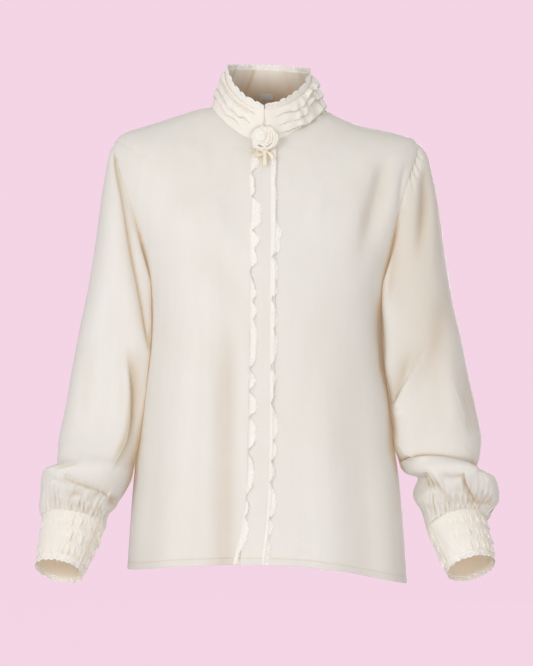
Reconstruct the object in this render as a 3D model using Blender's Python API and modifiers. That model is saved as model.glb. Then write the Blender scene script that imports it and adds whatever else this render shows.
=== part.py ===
"""Silk blouse with a ruffled stand collar, long gathered sleeves and ruffled cuffs.

Frame: metres, +Z up, the wearer faces -Y, the garment's right side is -X.
The origin is the middle of the neck base, level with the point where the
shoulder seams meet the collar.  Tables are in millimetres.
Every cloth piece is an open surface worked out from the tables, given its
thickness by a Solidify modifier.
"""
import math

import bmesh
import bpy
from mathutils import Vector

MM = 0.001

# ---------------------------------------------------------------- sizes (mm)
CLOTH = 1.3            # wall of the body panels, sleeves, collar and cuffs
TRIM = 1.0             # wall of lace and ruffles
GAP = 0.35             # air between a piece and what it lies on
SEAM = 0.3             # each piece stops this far short of its seam line

ARM_W0, ARM_W1 = 0.60, 0.85    # rows where the armhole starts and ends
ARM_BUMP_FRONT = 48.0          # how far the armhole swings forward
ARM_BUMP_BACK = 54.0           # and back

PLACKET_HALF = 17.0    # half width of the front placket
LACE_WIDE = 9.5        # width of the lace trims on the placket

COLLAR_RIM_R, COLLAR_RIM_L = 55.5, 61.0      # half widths of the rim
COLLAR_RIM_FRONT, COLLAR_RIM_BACK = -70.0, 62.0
COLLAR_LACE = 7.0

CUFF_OVERLAP = 16.0    # degrees that the cuff's ends overlap
CUFF_LACE = 5.5

# rows of the body, hem (w = 0) to neckline (w = 1).
# zf, zb: height at centre front and centre back; zr, zl: height at the right
# and left edge; xr, xl: half widths to the edge; yf, ys, yb: depth at centre
# front, at the side and at centre back; n: squareness of the section;
# xc: sideways drift of the centre front line.
BODY = [
    # w     zf    zb    zr    zl    xr     xl    yf    ys   yb   n     xc
    (0.00, -613, -634, -629, -649, 189.5, 191.5, -143, -22, 114, 2.30, -19.0),
    (0.10, -560, -572, -570, -582, 185.5, 187.0, -140, -22, 111, 2.30, -13.0),
    (0.20, -500, -506, -505, -510, 180.5, 181.0, -137, -22, 108, 2.30, -9.0),
    (0.30, -440, -442, -442, -444, 173.0, 171.5, -134, -22, 106, 2.32, -7.5),
    (0.40, -380, -380, -380, -380, 166.0, 164.0, -132, -21, 104, 2.34, -6.5),
    (0.50, -315, -315, -315, -315, 159.5, 159.0, -129, -19, 103, 2.36, -5.5),
    (0.56, -272, -272, -272, -272, 160.0, 160.0, -126, -16, 104, 2.38, -5.0),
    (0.60, -243, -240, -243, -243, 163.5, 164.0, -122, -12, 106, 2.40, -4.5),
    (0.675, -206, -190, -183, -184, 170.5, 172.0, -114, -8, 109, 2.20, -4.2),
    (0.735, -172, -150, -135, -136, 183.0, 182.0, -105, -5, 109, 2.08, -4.0),
    (0.79, -141, -111, -91, -93, 198.0, 196.0, -96, -1, 106, 2.02, -3.8),
    (0.85, -108, -72, -43, -46, 208.0, 208.0, -86, 2, 101, 2.00, -3.5),
    (0.88, -96, -55, -31, -38, 190.0, 193.0, -82, 3, 97, 2.00, -3.4),
    (0.91, -84, -38, -22, -30, 161.0, 163.0, -78, 5, 92, 2.00, -3.2),
    (0.94, -72, -20, -10, -23, 125.0, 128.0, -73, 6, 86, 2.00, -3.0),
    (0.97, -61, -2, -1, -11, 97.0, 99.0, -68, 7, 78, 2.00, -2.8),
    (1.00, -50, 15, 3, 1, 77.0, 78.0, -62, 8, 68, 2.00, -2.6),
]

# the largest soft folds of the body: face, from (x0, z0) to (x1, z1) as seen
# from the front, half width, depth (minus is a trough)
FOLDS = [
    ("front", -50, -270, -60, -640, 24, -6.0),
    ("front", -104, -330, -112, -640, 28, 4.0),
    ("front", 150, -120, 152, -250, 16, -4.0),
    ("front", 96, -300, 118, -640, 30, 4.0),
    ("back", -70, -230, -88, -640, 28, -6.0),
    ("back", 40, -260, 52, -640, 30, 5.0),
    ("back", 112, -330, 130, -640, 22, -5.0),
]

# sections of a sleeve, armhole (s = 0) to gathered end (s = 1), as seen on
# the wearer's left: outer point, inner point, front and back depth, pitch
# (how steeply the section rises to the front) and squareness
SLEEVE_L = [
    # s     xo     zo    xi     zi    yf    yb   pitch  n
    (0.00, 208.0, -46, 164.0, -243, -56, 56, 0.00, 2.1),
    (0.05, 222.0, -66, 164.0, -247, -60, 60, 0.00, 2.1),
    (0.10, 229.0, -100, 163.5, -255, -63, 64, 0.00, 2.1),
    (0.17, 237.0, -145, 163.0, -268, -65, 67, 0.00, 2.2),
    (0.25, 244.5, -190, 163.5, -284, -65, 68, 0.00, 2.3),
    (0.33, 250.5, -233, 165.5, -304, -64, 69, 0.00, 2.4),
    (0.41, 258.0, -272, 166.5, -327, -62, 69, 0.00, 2.4),
    (0.50, 267.5, -312, 167.5, -356, -60, 69, 0.00, 2.4),
    (0.58, 277.0, -360, 168.5, -388, -59, 67, 0.02, 2.3),
    (0.67, 288.0, -412, 173.0, -428, -66, 56, 0.08, 2.2),
    (0.75, 294.0, -456, 178.0, -466, -80, 38, 0.18, 2.1),
    (0.80, 290.0, -485, 182.0, -488, -86, 24, 0.28, 2.1),
    (0.84, 288.0, -499, 186.0, -496, -92, 16, 0.36, 2.1),
    (0.89, 311.0, -514, 192.0, -511, -116, 8, 0.42, 2.1),
    (0.94, 312.0, -538, 206.0, -530, -118, -6, 0.48, 2.1),
    (1.00, 292.0, -556, 216.0, -566, -100, -24, 0.55, 2.1),
]
SLEEVE_R = [
    # s     xo     zo    xi     zi    yf    yb   pitch  n
    (0.00, 208.0, -43, 163.5, -243, -56, 56, 0.00, 2.1),
    (0.05, 216.5, -62, 163.5, -247, -60, 60, 0.00, 2.1),
    (0.10, 221.5, -98, 163.0, -255, -63, 64, 0.00, 2.1),
    (0.17, 226.0, -140, 162.0, -267, -65, 67, 0.00, 2.2),
    (0.25, 231.5, -185, 161.5, -282, -65, 68, 0.00, 2.3),
    (0.33, 238.0, -228, 161.0, -302, -64, 69, 0.00, 2.5),
    (0.41, 246.0, -268, 161.0, -325, -63, 69, 0.00, 2.6),
    (0.50, 256.0, -312, 162.0, -356, -62, 69, 0.00, 2.6),
    (0.58, 266.0, -362, 164.0, -394, -62, 67, 0.02, 2.5),
    (0.67, 277.0, -416, 170.0, -440, -68, 56, 0.08, 2.3),
    (0.75, 284.0, -456, 177.0, -478, -80, 38, 0.18, 2.1),
    (0.80, 284.0, -478, 181.0, -496, -88, 24, 0.28, 2.1),
    (0.84, 281.0, -490, 184.0, -507, -92, 16, 0.36, 2.1),
    (0.89, 304.0, -506, 191.0, -520, -116, 8, 0.42, 2.1),
    (0.94, 307.0, -532, 205.0, -540, -118, -6, 0.48, 2.1),
    (1.00, 301.0, -553, 221.0, -560, -100, -24, 0.55, 2.1),
]

# cuffs: side, centre of the top and of the rim, half widths across and
# front to back at the top and the rim, angle of the closure (0 is the outer
# side, 90 the front, 180 next to the body)
CUFFS = {
    "right": dict(side=-1, top=(261.0, -60, -565), rim=(275.0, -98, -621),
                  r_top=(42.0, 36.5), r_rim=(32.5, 30.5), closure=142.0),
    "left": dict(side=1, top=(256.0, -60, -566), rim=(271.0, -99, -617),
                 r_top=(40.0, 36.5), r_rim=(32.5, 30.5), closure=150.0),
}
# ruffle tiers of the cuffs: start and end along the cuff (0 top, 1 rim)
CUFF_TIERS = [(0.14, 0.38), (0.38, 0.62), (0.62, 0.86)]
# ruffle tiers of the collar: start and end up the collar (0 base, 1 rim)
COLLAR_TIERS = [(0.86, 0.60), (0.58, 0.31), (0.30, 0.03)]
FLARE = 3.8            # how far a tier's free edge stands off
TUCK = 20.0            # how far the sleeves reach in behind the body's edge

# rows and columns of the faceted surfaces
BODY_ROWS, ARM_ROWS, SHOULDER_ROWS = 7, 8, 4
FRONT_COLS, BACK_COLS = 9, 14
SLEEVE_ROWS = 16
CUFF_COLS, CUFF_ROWS = 24, 2

SILK = (0.81, 0.765, 0.70)
SILK_WARM = (0.86, 0.79, 0.70)
LACE = (0.84, 0.83, 0.80)


# ------------------------------------------------------------------ helpers
def clamp(v, lo, hi):
    return max(lo, min(hi, v))


def smooth(t):
    t = clamp(t, 0.0, 1.0)
    return t * t * (3.0 - 2.0 * t)


def spow(v, p):
    return math.copysign(abs(v) ** p, v)


def lookup(table, key):
    """Smooth value of every column of a table at key (its first column)."""
    n = len(table)
    key = clamp(key, table[0][0], table[-1][0])
    i = 0
    while i < n - 2 and table[i + 1][0] < key:
        i += 1
    a, b = table[i], table[i + 1]
    h = b[0] - a[0]
    t = (key - a[0]) / h
    before = table[i - 1] if i > 0 else a
    after = table[i + 2] if i + 2 < n else b
    h00, h10 = (1 + 2 * t) * (1 - t) ** 2, t * (1 - t) ** 2
    h01, h11 = t * t * (3 - 2 * t), t * t * (t - 1)
    out = []
    for c in range(1, len(a)):
        slope = (b[c] - a[c]) / h
        ma = slope if before is a else 0.5 * (
            slope + (a[c] - before[c]) / (a[0] - before[0]))
        mb = slope if after is b else 0.5 * (
            slope + (after[c] - b[c]) / (after[0] - b[0]))
        out.append(h00 * a[c] + h10 * h * ma + h01 * b[c] + h11 * h * mb)
    return out


def arm_t(w):
    return clamp((w - ARM_W0) / (ARM_W1 - ARM_W0), 0.0, 1.0)


def section(side, face, w):
    """Half width a, depth b, squareness n and end angle of one body row."""
    zf, zb, zr, zl, xr, xl, yf, ys, yb, n, xc = lookup(BODY, w)
    x_edge, z_edge = (xr, zr) if side < 0 else (xl, zl)
    swing = math.sin(math.pi * arm_t(w)) ** 0.55 if 0 < arm_t(w) < 1 else 0.0
    if face == "front":
        b, z0, swing = ys - yf, zf, swing * ARM_BUMP_FRONT
    else:
        b, z0, swing = yb - ys, zb, swing * ARM_BUMP_BACK
    end = math.acos(clamp(swing / b, 0.0, 1.0) ** (n / 2.0))
    a = x_edge / math.sin(end) ** (2.0 / n)
    return dict(a=a, b=b, n=n, end=end, z0=z0, z1=z_edge, ys=ys, xc=xc)


def fold_depth(face, x, z):
    d = 0.0
    for f, x0, z0, x1, z1, half, depth in FOLDS:
        if f != face:
            continue
        t = (z - z0) / (z1 - z0)
        if t <= 0.0:
            continue
        xm = x0 + (x1 - x0) * t
        d += depth * smooth(t * 3.0) * math.exp(-((x - xm) / half) ** 2)
    return d


def body_point(side, face, angle, w):
    """Point of the body's outer face.  angle 0 is the centre line."""
    s = section(side, face, w)
    sx = math.sin(angle) ** (2.0 / s["n"]) if angle > 0 else 0.0
    cy = max(math.cos(angle), 0.0) ** (2.0 / s["n"])
    x = side * s["a"] * sx
    fwd = -1.0 if face == "front" else 1.0
    y = s["ys"] + fwd * s["b"] * cy
    z = s["z0"] + (s["z1"] - s["z0"]) * (
        math.sin(angle) / math.sin(s["end"])) ** 2
    out = Vector((x / s["a"] ** 2, fwd * cy / s["b"], 0.0))
    edge = math.sin(angle / s["end"] * math.pi / 2.0) if s["end"] else 1.0
    d = fold_depth(face, x, z) * (1.0 - smooth((edge - 0.86) / 0.14))
    if out.length > 0:
        out.normalize()
    if face == "front":
        x += s["xc"] * math.cos(angle) ** 2
    return Vector((x + out.x * d, y + out.y * d, z))


def front_at(dx, w):
    """Point of the fronts dx from the centre front line."""
    side = 1 if dx >= 0 else -1
    s = section(side, "front", w)
    ang = math.asin(clamp(abs(dx) / s["a"], 0.0, 1.0) ** (s["n"] / 2.0))
    return body_point(side, "front", ang, w)


def body_rows():
    rows = [ARM_W0 * i / BODY_ROWS for i in range(BODY_ROWS)]
    rows += [ARM_W0 + (ARM_W1 - ARM_W0) * 0.5 * (
        1 - math.cos(math.pi * i / ARM_ROWS)) for i in range(ARM_ROWS)]
    rows += [ARM_W1 + (1 - ARM_W1) * i / SHOULDER_ROWS
             for i in range(SHOULDER_ROWS + 1)]
    return rows


def lifted(surface, a, b, off, eps=0.004):
    """Point of a surface moved out along its normal by off."""
    p = surface(a, b)
    da = surface(a + eps, b) - surface(a - eps, b)
    db = surface(a, b + eps) - surface(a, b - eps)
    n = da.cross(db)
    n.normalize()
    return p + n * off


def sheet_mesh(name, cols, rows, point, closed=False, flip=False):
    """A grid of cols x rows faces whose points come from point(i, j)."""
    bm = bmesh.new()
    bmesh.ops.create_grid(bm, x_segments=cols, y_segments=rows, size=1.0)
    for v in bm.verts:
        i = round((v.co.x + 1.0) * 0.5 * cols)
        j = round((v.co.y + 1.0) * 0.5 * rows)
        v.co = point(i, j) * MM
    if closed:
        bmesh.ops.remove_doubles(bm, verts=bm.verts, dist=0.00002)
    if flip:
        bmesh.ops.reverse_faces(bm, faces=bm.faces)
    mesh = bpy.data.meshes.new(name)
    bm.to_mesh(mesh)
    bm.free()
    return mesh


def material(name, colour, roughness):
    mat = bpy.data.materials.get(name)
    if mat is None:
        mat = bpy.data.materials.new(name)
        mat.use_nodes = True
        shader = mat.node_tree.nodes["Principled BSDF"]
        shader.inputs["Base Color"].default_value = (*colour, 1.0)
        shader.inputs["Roughness"].default_value = roughness
        shader.inputs["Metallic"].default_value = 0.0
    return mat


def piece(name, mesh, colour, wall, outward=-1.0, roughness=0.55):
    """A named piece: the mesh with an even wall, inside (-1) or outside (1)."""
    obj = bpy.data.objects.new(name, mesh)
    PARTS.objects.link(obj)
    mesh.materials.append(material(name, colour, roughness))
    mod = obj.modifiers.new("wall", "SOLIDIFY")
    mod.thickness = wall * MM
    mod.offset = outward
    mod.use_even_offset = True
    mod.use_quality_normals = True
    mesh.shade_smooth()
    obj.parent = ROOT
    return obj


# ------------------------------------------------------------- body panels
def front_panel(side):
    rows = body_rows()

    def point(i, j):
        w = rows[j]
        s = section(side, "front", w)
        p = body_point(side, "front", s["end"] * i / FRONT_COLS, w)
        if i == 0:
            p.x += side * SEAM
        if i == FRONT_COLS and not 0.0 < arm_t(w) < 1.0:
            p.y -= SEAM if w < ARM_W1 else 1.5 * SEAM
        return p

    return sheet_mesh("front", FRONT_COLS, len(rows) - 1, point,
                      flip=side < 0)


def back_panel():
    rows = body_rows()
    half = BACK_COLS // 2

    def point(i, j):
        w = rows[j]
        side = -1 if i > half else 1
        s = section(side, "back", w)
        p = body_point(side, "back", s["end"] * abs(i - half) / half, w)
        if i in (0, BACK_COLS) and not 0.0 < arm_t(w) < 1.0:
            p.y += SEAM if w < ARM_W1 else 1.5 * SEAM
        return p

    return sheet_mesh("back", BACK_COLS, len(rows) - 1, point)


# ----------------------------------------------------------------- sleeves
def armhole(side, phi):
    """Armhole edge: phi 0 at the shoulder, 90 front, 180 under the arm."""
    w = ARM_W0 + (ARM_W1 - ARM_W0) * 0.5 * (1 + math.cos(phi))
    face = "front" if phi <= math.pi else "back"
    return body_point(side, face, section(side, face, w)["end"], w)


def body_reach(side, y, z):
    """Half width of the body at depth y and height z, below the armhole."""
    lo, hi = 0.0, ARM_W0
    for _ in range(24):
        mid = 0.5 * (lo + hi)
        if section(side, "front", mid)["z1"] < z:
            lo = mid
        else:
            hi = mid
    s = section(side, "front" if y < section(side, "front", lo)["ys"]
                else "back", lo)
    r = abs(y - s["ys"]) / s["b"]
    return s["a"] * (1 - r ** s["n"]) ** (1 / s["n"]) if r < 1 else 0.0


def cuff_frame(cuff):
    side = cuff["side"]
    top = Vector((side * cuff["top"][0], cuff["top"][1], cuff["top"][2]))
    rim = Vector((side * cuff["rim"][0], cuff["rim"][1], cuff["rim"][2]))
    axis = (rim - top).normalized()
    across = Vector((side, 0, 0))
    across = (across - axis * across.dot(axis)).normalized()
    ahead = Vector((0, -1, 0))
    ahead = ahead - axis * ahead.dot(axis)
    ahead = (ahead - across * ahead.dot(across)).normalized()
    return top, rim, axis, across, ahead


def cuff_point(cuff, phi, t, off=0.0):
    """Outer face of a cuff: phi as on the sleeve, t 0 at its top, 1 at its
    rim, off moves it out from the axis."""
    top, rim, _, across, ahead = cuff_frame(cuff)
    rx = cuff["r_top"][0] + (cuff["r_rim"][0] - cuff["r_top"][0]) * t + off
    ry = cuff["r_top"][1] + (cuff["r_rim"][1] - cuff["r_top"][1]) * t + off
    return (top + (rim - top) * t + across * rx * math.cos(phi)
            + ahead * ry * math.sin(phi))


def sleeve_point(cuff, table, phi, s):
    side = cuff["side"]

    def raw(s):
        xo, zo, xi, zi, yf, yb, pitch, n = lookup(table, s)
        c = spow(math.cos(phi), 2 / n)
        q = spow(math.sin(phi), 2 / n)
        x = 0.5 * (xo + xi) + 0.5 * (xo - xi) * c
        # the back of the inner side tucks in behind the body's edge
        x -= TUCK * max(-q, 0.0) * 0.5 * (1 - c) * smooth(s / 0.25) * (
            1 - smooth((s - 0.62) / 0.2))
        dy = -0.5 * (yb - yf) * q
        z = 0.5 * (zo + zi) + 0.5 * (zo - zi) * c - pitch * dy
        return Vector((side * x, 0.5 * (yf + yb) + dy, z))

    p = raw(s)
    p += (armhole(side, phi) - raw(0.0)) * (1 - smooth(s / 0.22))
    _, _, axis, _, _ = cuff_frame(cuff)
    end = cuff_point(cuff, phi, 0.0) - axis * 0.5
    p += (end - raw(1.0)) * smooth((s - 0.88) / 0.12)
    # the inner side stays clear of the body
    reach = body_reach(side, p.y, p.z) if p.z < -243 else 0.0
    clear = 0.6 + 2.6 * smooth((s - 0.01) / 0.2)
    if reach > 0:
        far = reach + clear
        x = abs(p.x)
        soft = 3.0 * smooth(s / 0.3)
        x = 0.5 * (x + far + math.sqrt((x - far) ** 2 + soft * soft))
        p.x = side * x
    if s == 0.0:
        ahead = sleeve_point(cuff, table, phi, 0.02)
        p += (ahead - p).normalized() * (0.6 + 0.5 * max(math.cos(phi), 0.0) ** 4)
    return p


def sleeve_panel(cuff, table):
    around = 2 * ARM_ROWS

    def point(i, j):
        phi = 2 * math.pi * (i % around) / around
        s = j / SLEEVE_ROWS
        s = s - 0.045 * math.sin(2 * math.pi * s) * 0.5
        if j == SLEEVE_ROWS:
            s = 1.0
        return sleeve_point(cuff, table, phi, s)

    return sheet_mesh("sleeve", around, SLEEVE_ROWS, point, closed=True,
                      flip=cuff["side"] < 0)


# ------------------------------------------------------------------- cuffs
def spiral(cuff, wall, u):
    """Angle and lift of a band that wraps the arm and overlaps itself."""
    start = math.radians(cuff["closure"] - CUFF_OVERLAP / 2)
    turn = math.radians(360.0 + CUFF_OVERLAP)
    ramp = smooth((u * turn - math.radians(320.0)) / math.radians(34.0))
    return start + u * turn, (wall + GAP + 0.15) * ramp


def cuff_strip(cuff, t0, t1, cols, rows, lift0=0.0, lift1=0.0, wave=0.0):
    side = cuff["side"]

    def point(i, j):
        u = i / cols
        phi, lift = spiral(cuff, CLOTH, u)
        v = j / rows
        wav = wave * math.cos(u * 2 * math.pi * 17) * v
        return cuff_point(cuff, phi, t0 + (t1 - t0) * v,
                          lift + lift0 + (lift1 - lift0) * v + wav)

    return sheet_mesh("cuff", cols, rows, point, flip=side < 0)


def cuff_ruffle(cuff, t0, t1, cols, wave):
    """One tier: sewn at its top edge, standing off at its free edge."""
    side = cuff["side"]
    clear = (CUFF_OVERLAP + 3.0) / (360.0 + CUFF_OVERLAP)

    def point(i, j):
        u, v = i / cols, float(j)
        phi, lift = spiral(cuff, CLOTH, clear + (0.995 - clear) * u)
        k = u * 2 * math.pi
        wav = wave * (math.sin(k * 6 + t0 * 40) + 0.6 * math.sin(k * 5)) * v
        off = lift + GAP + 0.1 + (FLARE - 0.6) * v + wav * 0.8
        return cuff_point(cuff, phi, t0 + (t1 - t0) * v, off)

    return sheet_mesh("cuff_ruffle", cols, 1, point, flip=side < 0)


# ------------------------------------------------------------------ collar
def collar_point(theta, v):
    """Outer face of the stand collar.  theta 0 is centre front, positive to
    the wearer's left, 180 is centre back; v 0 at the base, 1 at the rim."""
    theta = (theta + math.pi) % (2 * math.pi) - math.pi
    side = 1 if theta >= 0 else -1
    t = abs(theta)
    face = "front" if t <= math.pi / 2 else "back"
    base = body_point(side, face, t if face == "front" else math.pi - t, 1.0)
    half = COLLAR_RIM_L if side > 0 else COLLAR_RIM_R
    y = (0.5 * (COLLAR_RIM_FRONT + COLLAR_RIM_BACK)
         + 0.5 * (COLLAR_RIM_FRONT - COLLAR_RIM_BACK) * math.cos(t))
    if t <= math.pi / 2:
        z = -8.0 + 60.0 * (t / (math.pi / 2)) ** 1.45
    else:
        z = 52.0 + 10.0 * math.sin(t - math.pi / 2) ** 1.3
    z -= 0.045 * side * half * math.sin(t)
    rim = Vector((side * half * math.sin(t) - 2.6 * math.cos(t) ** 2
                  * (1 if t < math.pi / 2 else 0), y, z))
    return base + (rim - base) * v


def collar_up(theta, mm):
    """v for a distance of mm up the collar."""
    height = (collar_point(theta, 1.0) - collar_point(theta, 0.0)).length
    return mm / height


def collar_out(theta, v, off):
    e = 0.01
    p = collar_point(theta, v)
    da = collar_point(theta + e, v) - collar_point(theta - e, v)
    db = collar_point(theta, v + e) - collar_point(theta, v - e)
    n = da.cross(db).normalized()
    return p + n * off


def collar_strip(cols, rows, open_deg, v0, v1, off=None):
    """A strip round the collar, open by open_deg each side of the front."""
    def point(i, j):
        d = math.radians(open_deg)
        theta = d + (2 * math.pi - 2 * d) * i / cols
        v = v0(theta) + (v1(theta) - v0(theta)) * j / rows
        return collar_out(theta, v, off(theta, j / rows) if off else 0.0)

    return sheet_mesh("collar", cols, rows, point)


def collar_ruffle(v_top, v_free, wave, shift):
    cols = 32

    def point(i, j):
        d = math.radians(19.0)
        u, v = i / cols, float(j)
        theta = d + (2 * math.pi - 2 * d) * u
        k = theta * 7 + shift
        off = GAP + (FLARE + wave * math.sin(k)) * v
        return collar_out(theta, v_top + (v_free - v_top) * v, off)

    return sheet_mesh("collar_ruffle", cols, 1, point, flip=True)


def neck_label():
    """Bare woven label on the inside of the collar, at centre back."""
    def point(i, j):
        x = -9.0 + 18.0 * i / 4
        theta = math.pi - math.asin(x / 66.0)
        v = collar_up(theta, 5.0) + collar_up(theta, 8.5) * j / 2
        return collar_out(theta, v, -(CLOTH + GAP + 0.1))

    return sheet_mesh("label", 4, 2, point)


# ------------------------------------------------------- placket and laces
def placket_strip(dx0, dx1, cols, rows, lift, w0=0.0, w1=0.984, wave=None):
    def point(i, j):
        w = w0 + (w1 - w0) * j / rows
        dx = dx0 + (dx1 - dx0) * i / cols
        extra = wave(i / cols, j / rows) if wave else 0.0
        return lifted(front_at, dx, w, lift + extra)

    return sheet_mesh("placket", cols, rows, point)


def lace_wave(phase):
    """Free edge of a placket lace: uneven, flipping in and out."""
    def wave(u, v):
        k = v * 2 * math.pi
        return (0.9 + 0.6 * math.sin(k * 9 + phase)
                + 0.5 * math.sin(k * 5.3 + 2 * phase)) * u
    return wave


# --------------------------------------------------------- rosette and bow
ROSETTE_AT = (-2.7, -72.6, -47.0)
BOW_AT = (-4.0, -80.0, -66.2)


def rosette():
    """Ribbon wound into a flat rose, its turns widening as it grows."""
    cols, turns = 34, 2.35

    def point(i, j):
        u, v = i / cols, j / 2
        ang = u * turns * 2 * math.pi + 2.4
        r = 3.0 + 14.4 * u ** 0.95
        r += 1.4 * v * (0.5 + u)
        depth = 8.0 * (1 - 0.45 * u * u) * v
        return Vector((ROSETTE_AT[0] + r * 1.1 * math.cos(ang),
                       ROSETTE_AT[1] - depth,
                       ROSETTE_AT[2] + r * 0.96 * math.sin(ang)))

    return sheet_mesh("rosette", cols, 2, point, flip=True)


def ribbon(path, width, cols):
    """Flat ribbon whose middle line is path(u), its width along Z or X."""
    def point(i, j):
        p, side = path(i / cols)
        return p + side * (width * (j / 2 - 0.5))

    return sheet_mesh("ribbon", cols, 2, point)


def bow_loop():
    """Loop of the bow on the wearer's right: out, round and back."""
    def path(u):
        ang = u * 2 * math.pi
        x = BOW_AT[0] - 12.2 + 7.2 * math.cos(ang)
        z = BOW_AT[2] + 0.4 + 2.6 * math.sin(ang) + 0.22 * (BOW_AT[0] - x)
        return Vector((x, BOW_AT[1], z)), Vector((0, -1, 0.25))

    cols = 14

    def point(i, j):
        p, side = path((i % cols) / cols)
        return p + side * (4.4 * (j / 2 - 0.5))

    return sheet_mesh("loop", cols, 2, point, closed=True)


def bow_tail(x0, z0, x1, z1, width, sway):
    """A free end of the ribbon, hanging down from the knot."""
    start, end = Vector((x0, 0, z0)), Vector((x1, 0, z1))
    along = (end - start).normalized()
    side = Vector((along.z, 0, -along.x))

    def path(u):
        p = start + (end - start) * u
        p.y = (BOW_AT[1] + 1.0 - sway * math.sin(math.pi * u)
               - 0.5 * (start.z - p.z))
        return p, side

    return ribbon(path, width, 5)


def knot():
    mesh = bpy.data.meshes.new("knot")
    bm = bmesh.new()
    bmesh.ops.create_cube(bm, size=1.0)
    bmesh.ops.scale(bm, vec=Vector((8.6, 4.4, 4.2)) * MM, verts=bm.verts)
    bmesh.ops.bevel(bm, geom=bm.edges[:], offset=1.1 * MM, segments=2,
                    profile=0.6, affect="EDGES")
    bmesh.ops.translate(bm, vec=Vector(BOW_AT) * MM, verts=bm.verts)
    bm.to_mesh(mesh)
    bm.free()
    return mesh


# ------------------------------------------------------------------- build
for old in list(bpy.data.objects):
    bpy.data.objects.remove(old, do_unlink=True)

PARTS = bpy.data.collections.new("silk_blouse")
bpy.context.scene.collection.children.link(PARTS)
ROOT = bpy.data.objects.new("blouse_origin", None)
PARTS.objects.link(ROOT)

piece("front_right", front_panel(-1), SILK, CLOTH)
piece("front_left", front_panel(1), SILK, CLOTH)
piece("back", back_panel(), SILK, CLOTH)

for name, cuff in CUFFS.items():
    table = SLEEVE_L if name == "left" else SLEEVE_R
    piece("sleeve_" + name, sleeve_panel(cuff, table), SILK, CLOTH)
    piece("cuff_" + name, cuff_strip(cuff, 0.0, 1.0, CUFF_COLS, CUFF_ROWS),
          SILK_WARM, CLOTH)
    axis_len = (Vector(cuff["rim"]) - Vector(cuff["top"])).length
    piece("cuff_%s_lace" % name,
          cuff_strip(cuff, 1.0 + 0.5 / axis_len,
                     1.0 + (0.5 + CUFF_LACE) / axis_len, CUFF_COLS, 1),
          LACE, TRIM)
    for k, (t0, t1) in enumerate(CUFF_TIERS):
        piece("cuff_%s_ruffle_%d" % (name, k + 1),
              cuff_ruffle(cuff, t0, t1 - 0.02, 24, 0.5), SILK_WARM, TRIM, 1.0)

piece("collar_band",
      collar_strip(32, 2, 0.3, lambda th: collar_up(th, 0.6),
                   lambda th: 1.0), SILK_WARM, CLOTH)
piece("collar_lace",
      collar_strip(32, 1, 0.6, lambda th: 1.0 + collar_up(th, 0.5),
                   lambda th: 1.0 + collar_up(th, 0.5 + COLLAR_LACE)),
      LACE, TRIM)
for k, (top, free) in enumerate(COLLAR_TIERS):
    piece("collar_ruffle_%d" % (k + 1),
          collar_ruffle(top, free, 0.9, 1.7 * k), SILK_WARM, TRIM, 1.0)
piece("neck_label", neck_label(), LACE, 0.6, 1.0)

piece("placket", placket_strip(-PLACKET_HALF, PLACKET_HALF, 4, 18, GAP),
      SILK, TRIM, 1.0)
piece("placket_lace_right",
      placket_strip(-PLACKET_HALF, -PLACKET_HALF + LACE_WIDE, 1, 36,
                    TRIM + 2 * GAP, 0.0, 0.945, lace_wave(0.4)),
      LACE, TRIM, 1.0)
piece("placket_lace_left",
      placket_strip(PLACKET_HALF - LACE_WIDE, PLACKET_HALF, 1, 36,
                    TRIM + 2 * GAP, 0.0, 0.945, lace_wave(2.1)),
      LACE, TRIM, 1.0)

piece("rosette", rosette(), SILK_WARM, TRIM, 0.0)
knot_obj = bpy.data.objects.new("ribbon_knot", knot())
PARTS.objects.link(knot_obj)
knot_obj.data.materials.append(material("ribbon_knot", SILK_WARM, 0.5))
knot_obj.parent = ROOT
piece("ribbon_loop", bow_loop(), SILK_WARM, 0.8, 0.0)
piece("ribbon_tail_right", bow_tail(-3.0, -68.9, -2.0, -84.0, 5.6, 0.4),
      SILK_WARM, 0.8, 0.0)
piece("ribbon_tail_left", bow_tail(3.4, -66.4, 9.5, -72.9, 4.6, 0.8),
      SILK_WARM, 0.8, 0.0)
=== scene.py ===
"""Looks of the silk blouse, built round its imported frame.

Frame: +Z up, the wearer faces -Y, the garment's right side is -X.  Tables are
in millimetres, or in pixels of the 533 x 666 front view where they say so:
such a line is laid on the cloth that the view sees there.
"""
import math

import bpy
import numpy as np
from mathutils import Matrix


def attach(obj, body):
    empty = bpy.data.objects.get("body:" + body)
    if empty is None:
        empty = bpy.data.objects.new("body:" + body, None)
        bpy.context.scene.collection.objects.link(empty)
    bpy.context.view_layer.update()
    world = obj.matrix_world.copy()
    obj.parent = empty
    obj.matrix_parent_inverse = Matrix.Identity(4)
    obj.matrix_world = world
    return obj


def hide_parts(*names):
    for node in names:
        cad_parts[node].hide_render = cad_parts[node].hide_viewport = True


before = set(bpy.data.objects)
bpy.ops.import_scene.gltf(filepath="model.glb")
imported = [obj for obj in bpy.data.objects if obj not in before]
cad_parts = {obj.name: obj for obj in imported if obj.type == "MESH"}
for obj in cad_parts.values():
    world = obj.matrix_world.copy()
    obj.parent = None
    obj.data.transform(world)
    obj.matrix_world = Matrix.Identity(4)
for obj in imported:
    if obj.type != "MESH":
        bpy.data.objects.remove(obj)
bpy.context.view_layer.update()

MM = 0.001
PI = math.pi

# the front view: eye point (mm), focal length and centre (pixels)
EYE_Y, EYE_Z, FOCAL, VIEW_CX, VIEW_CY = -2800.0, -309.0, 2029.0, 266.5, 333.0

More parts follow.
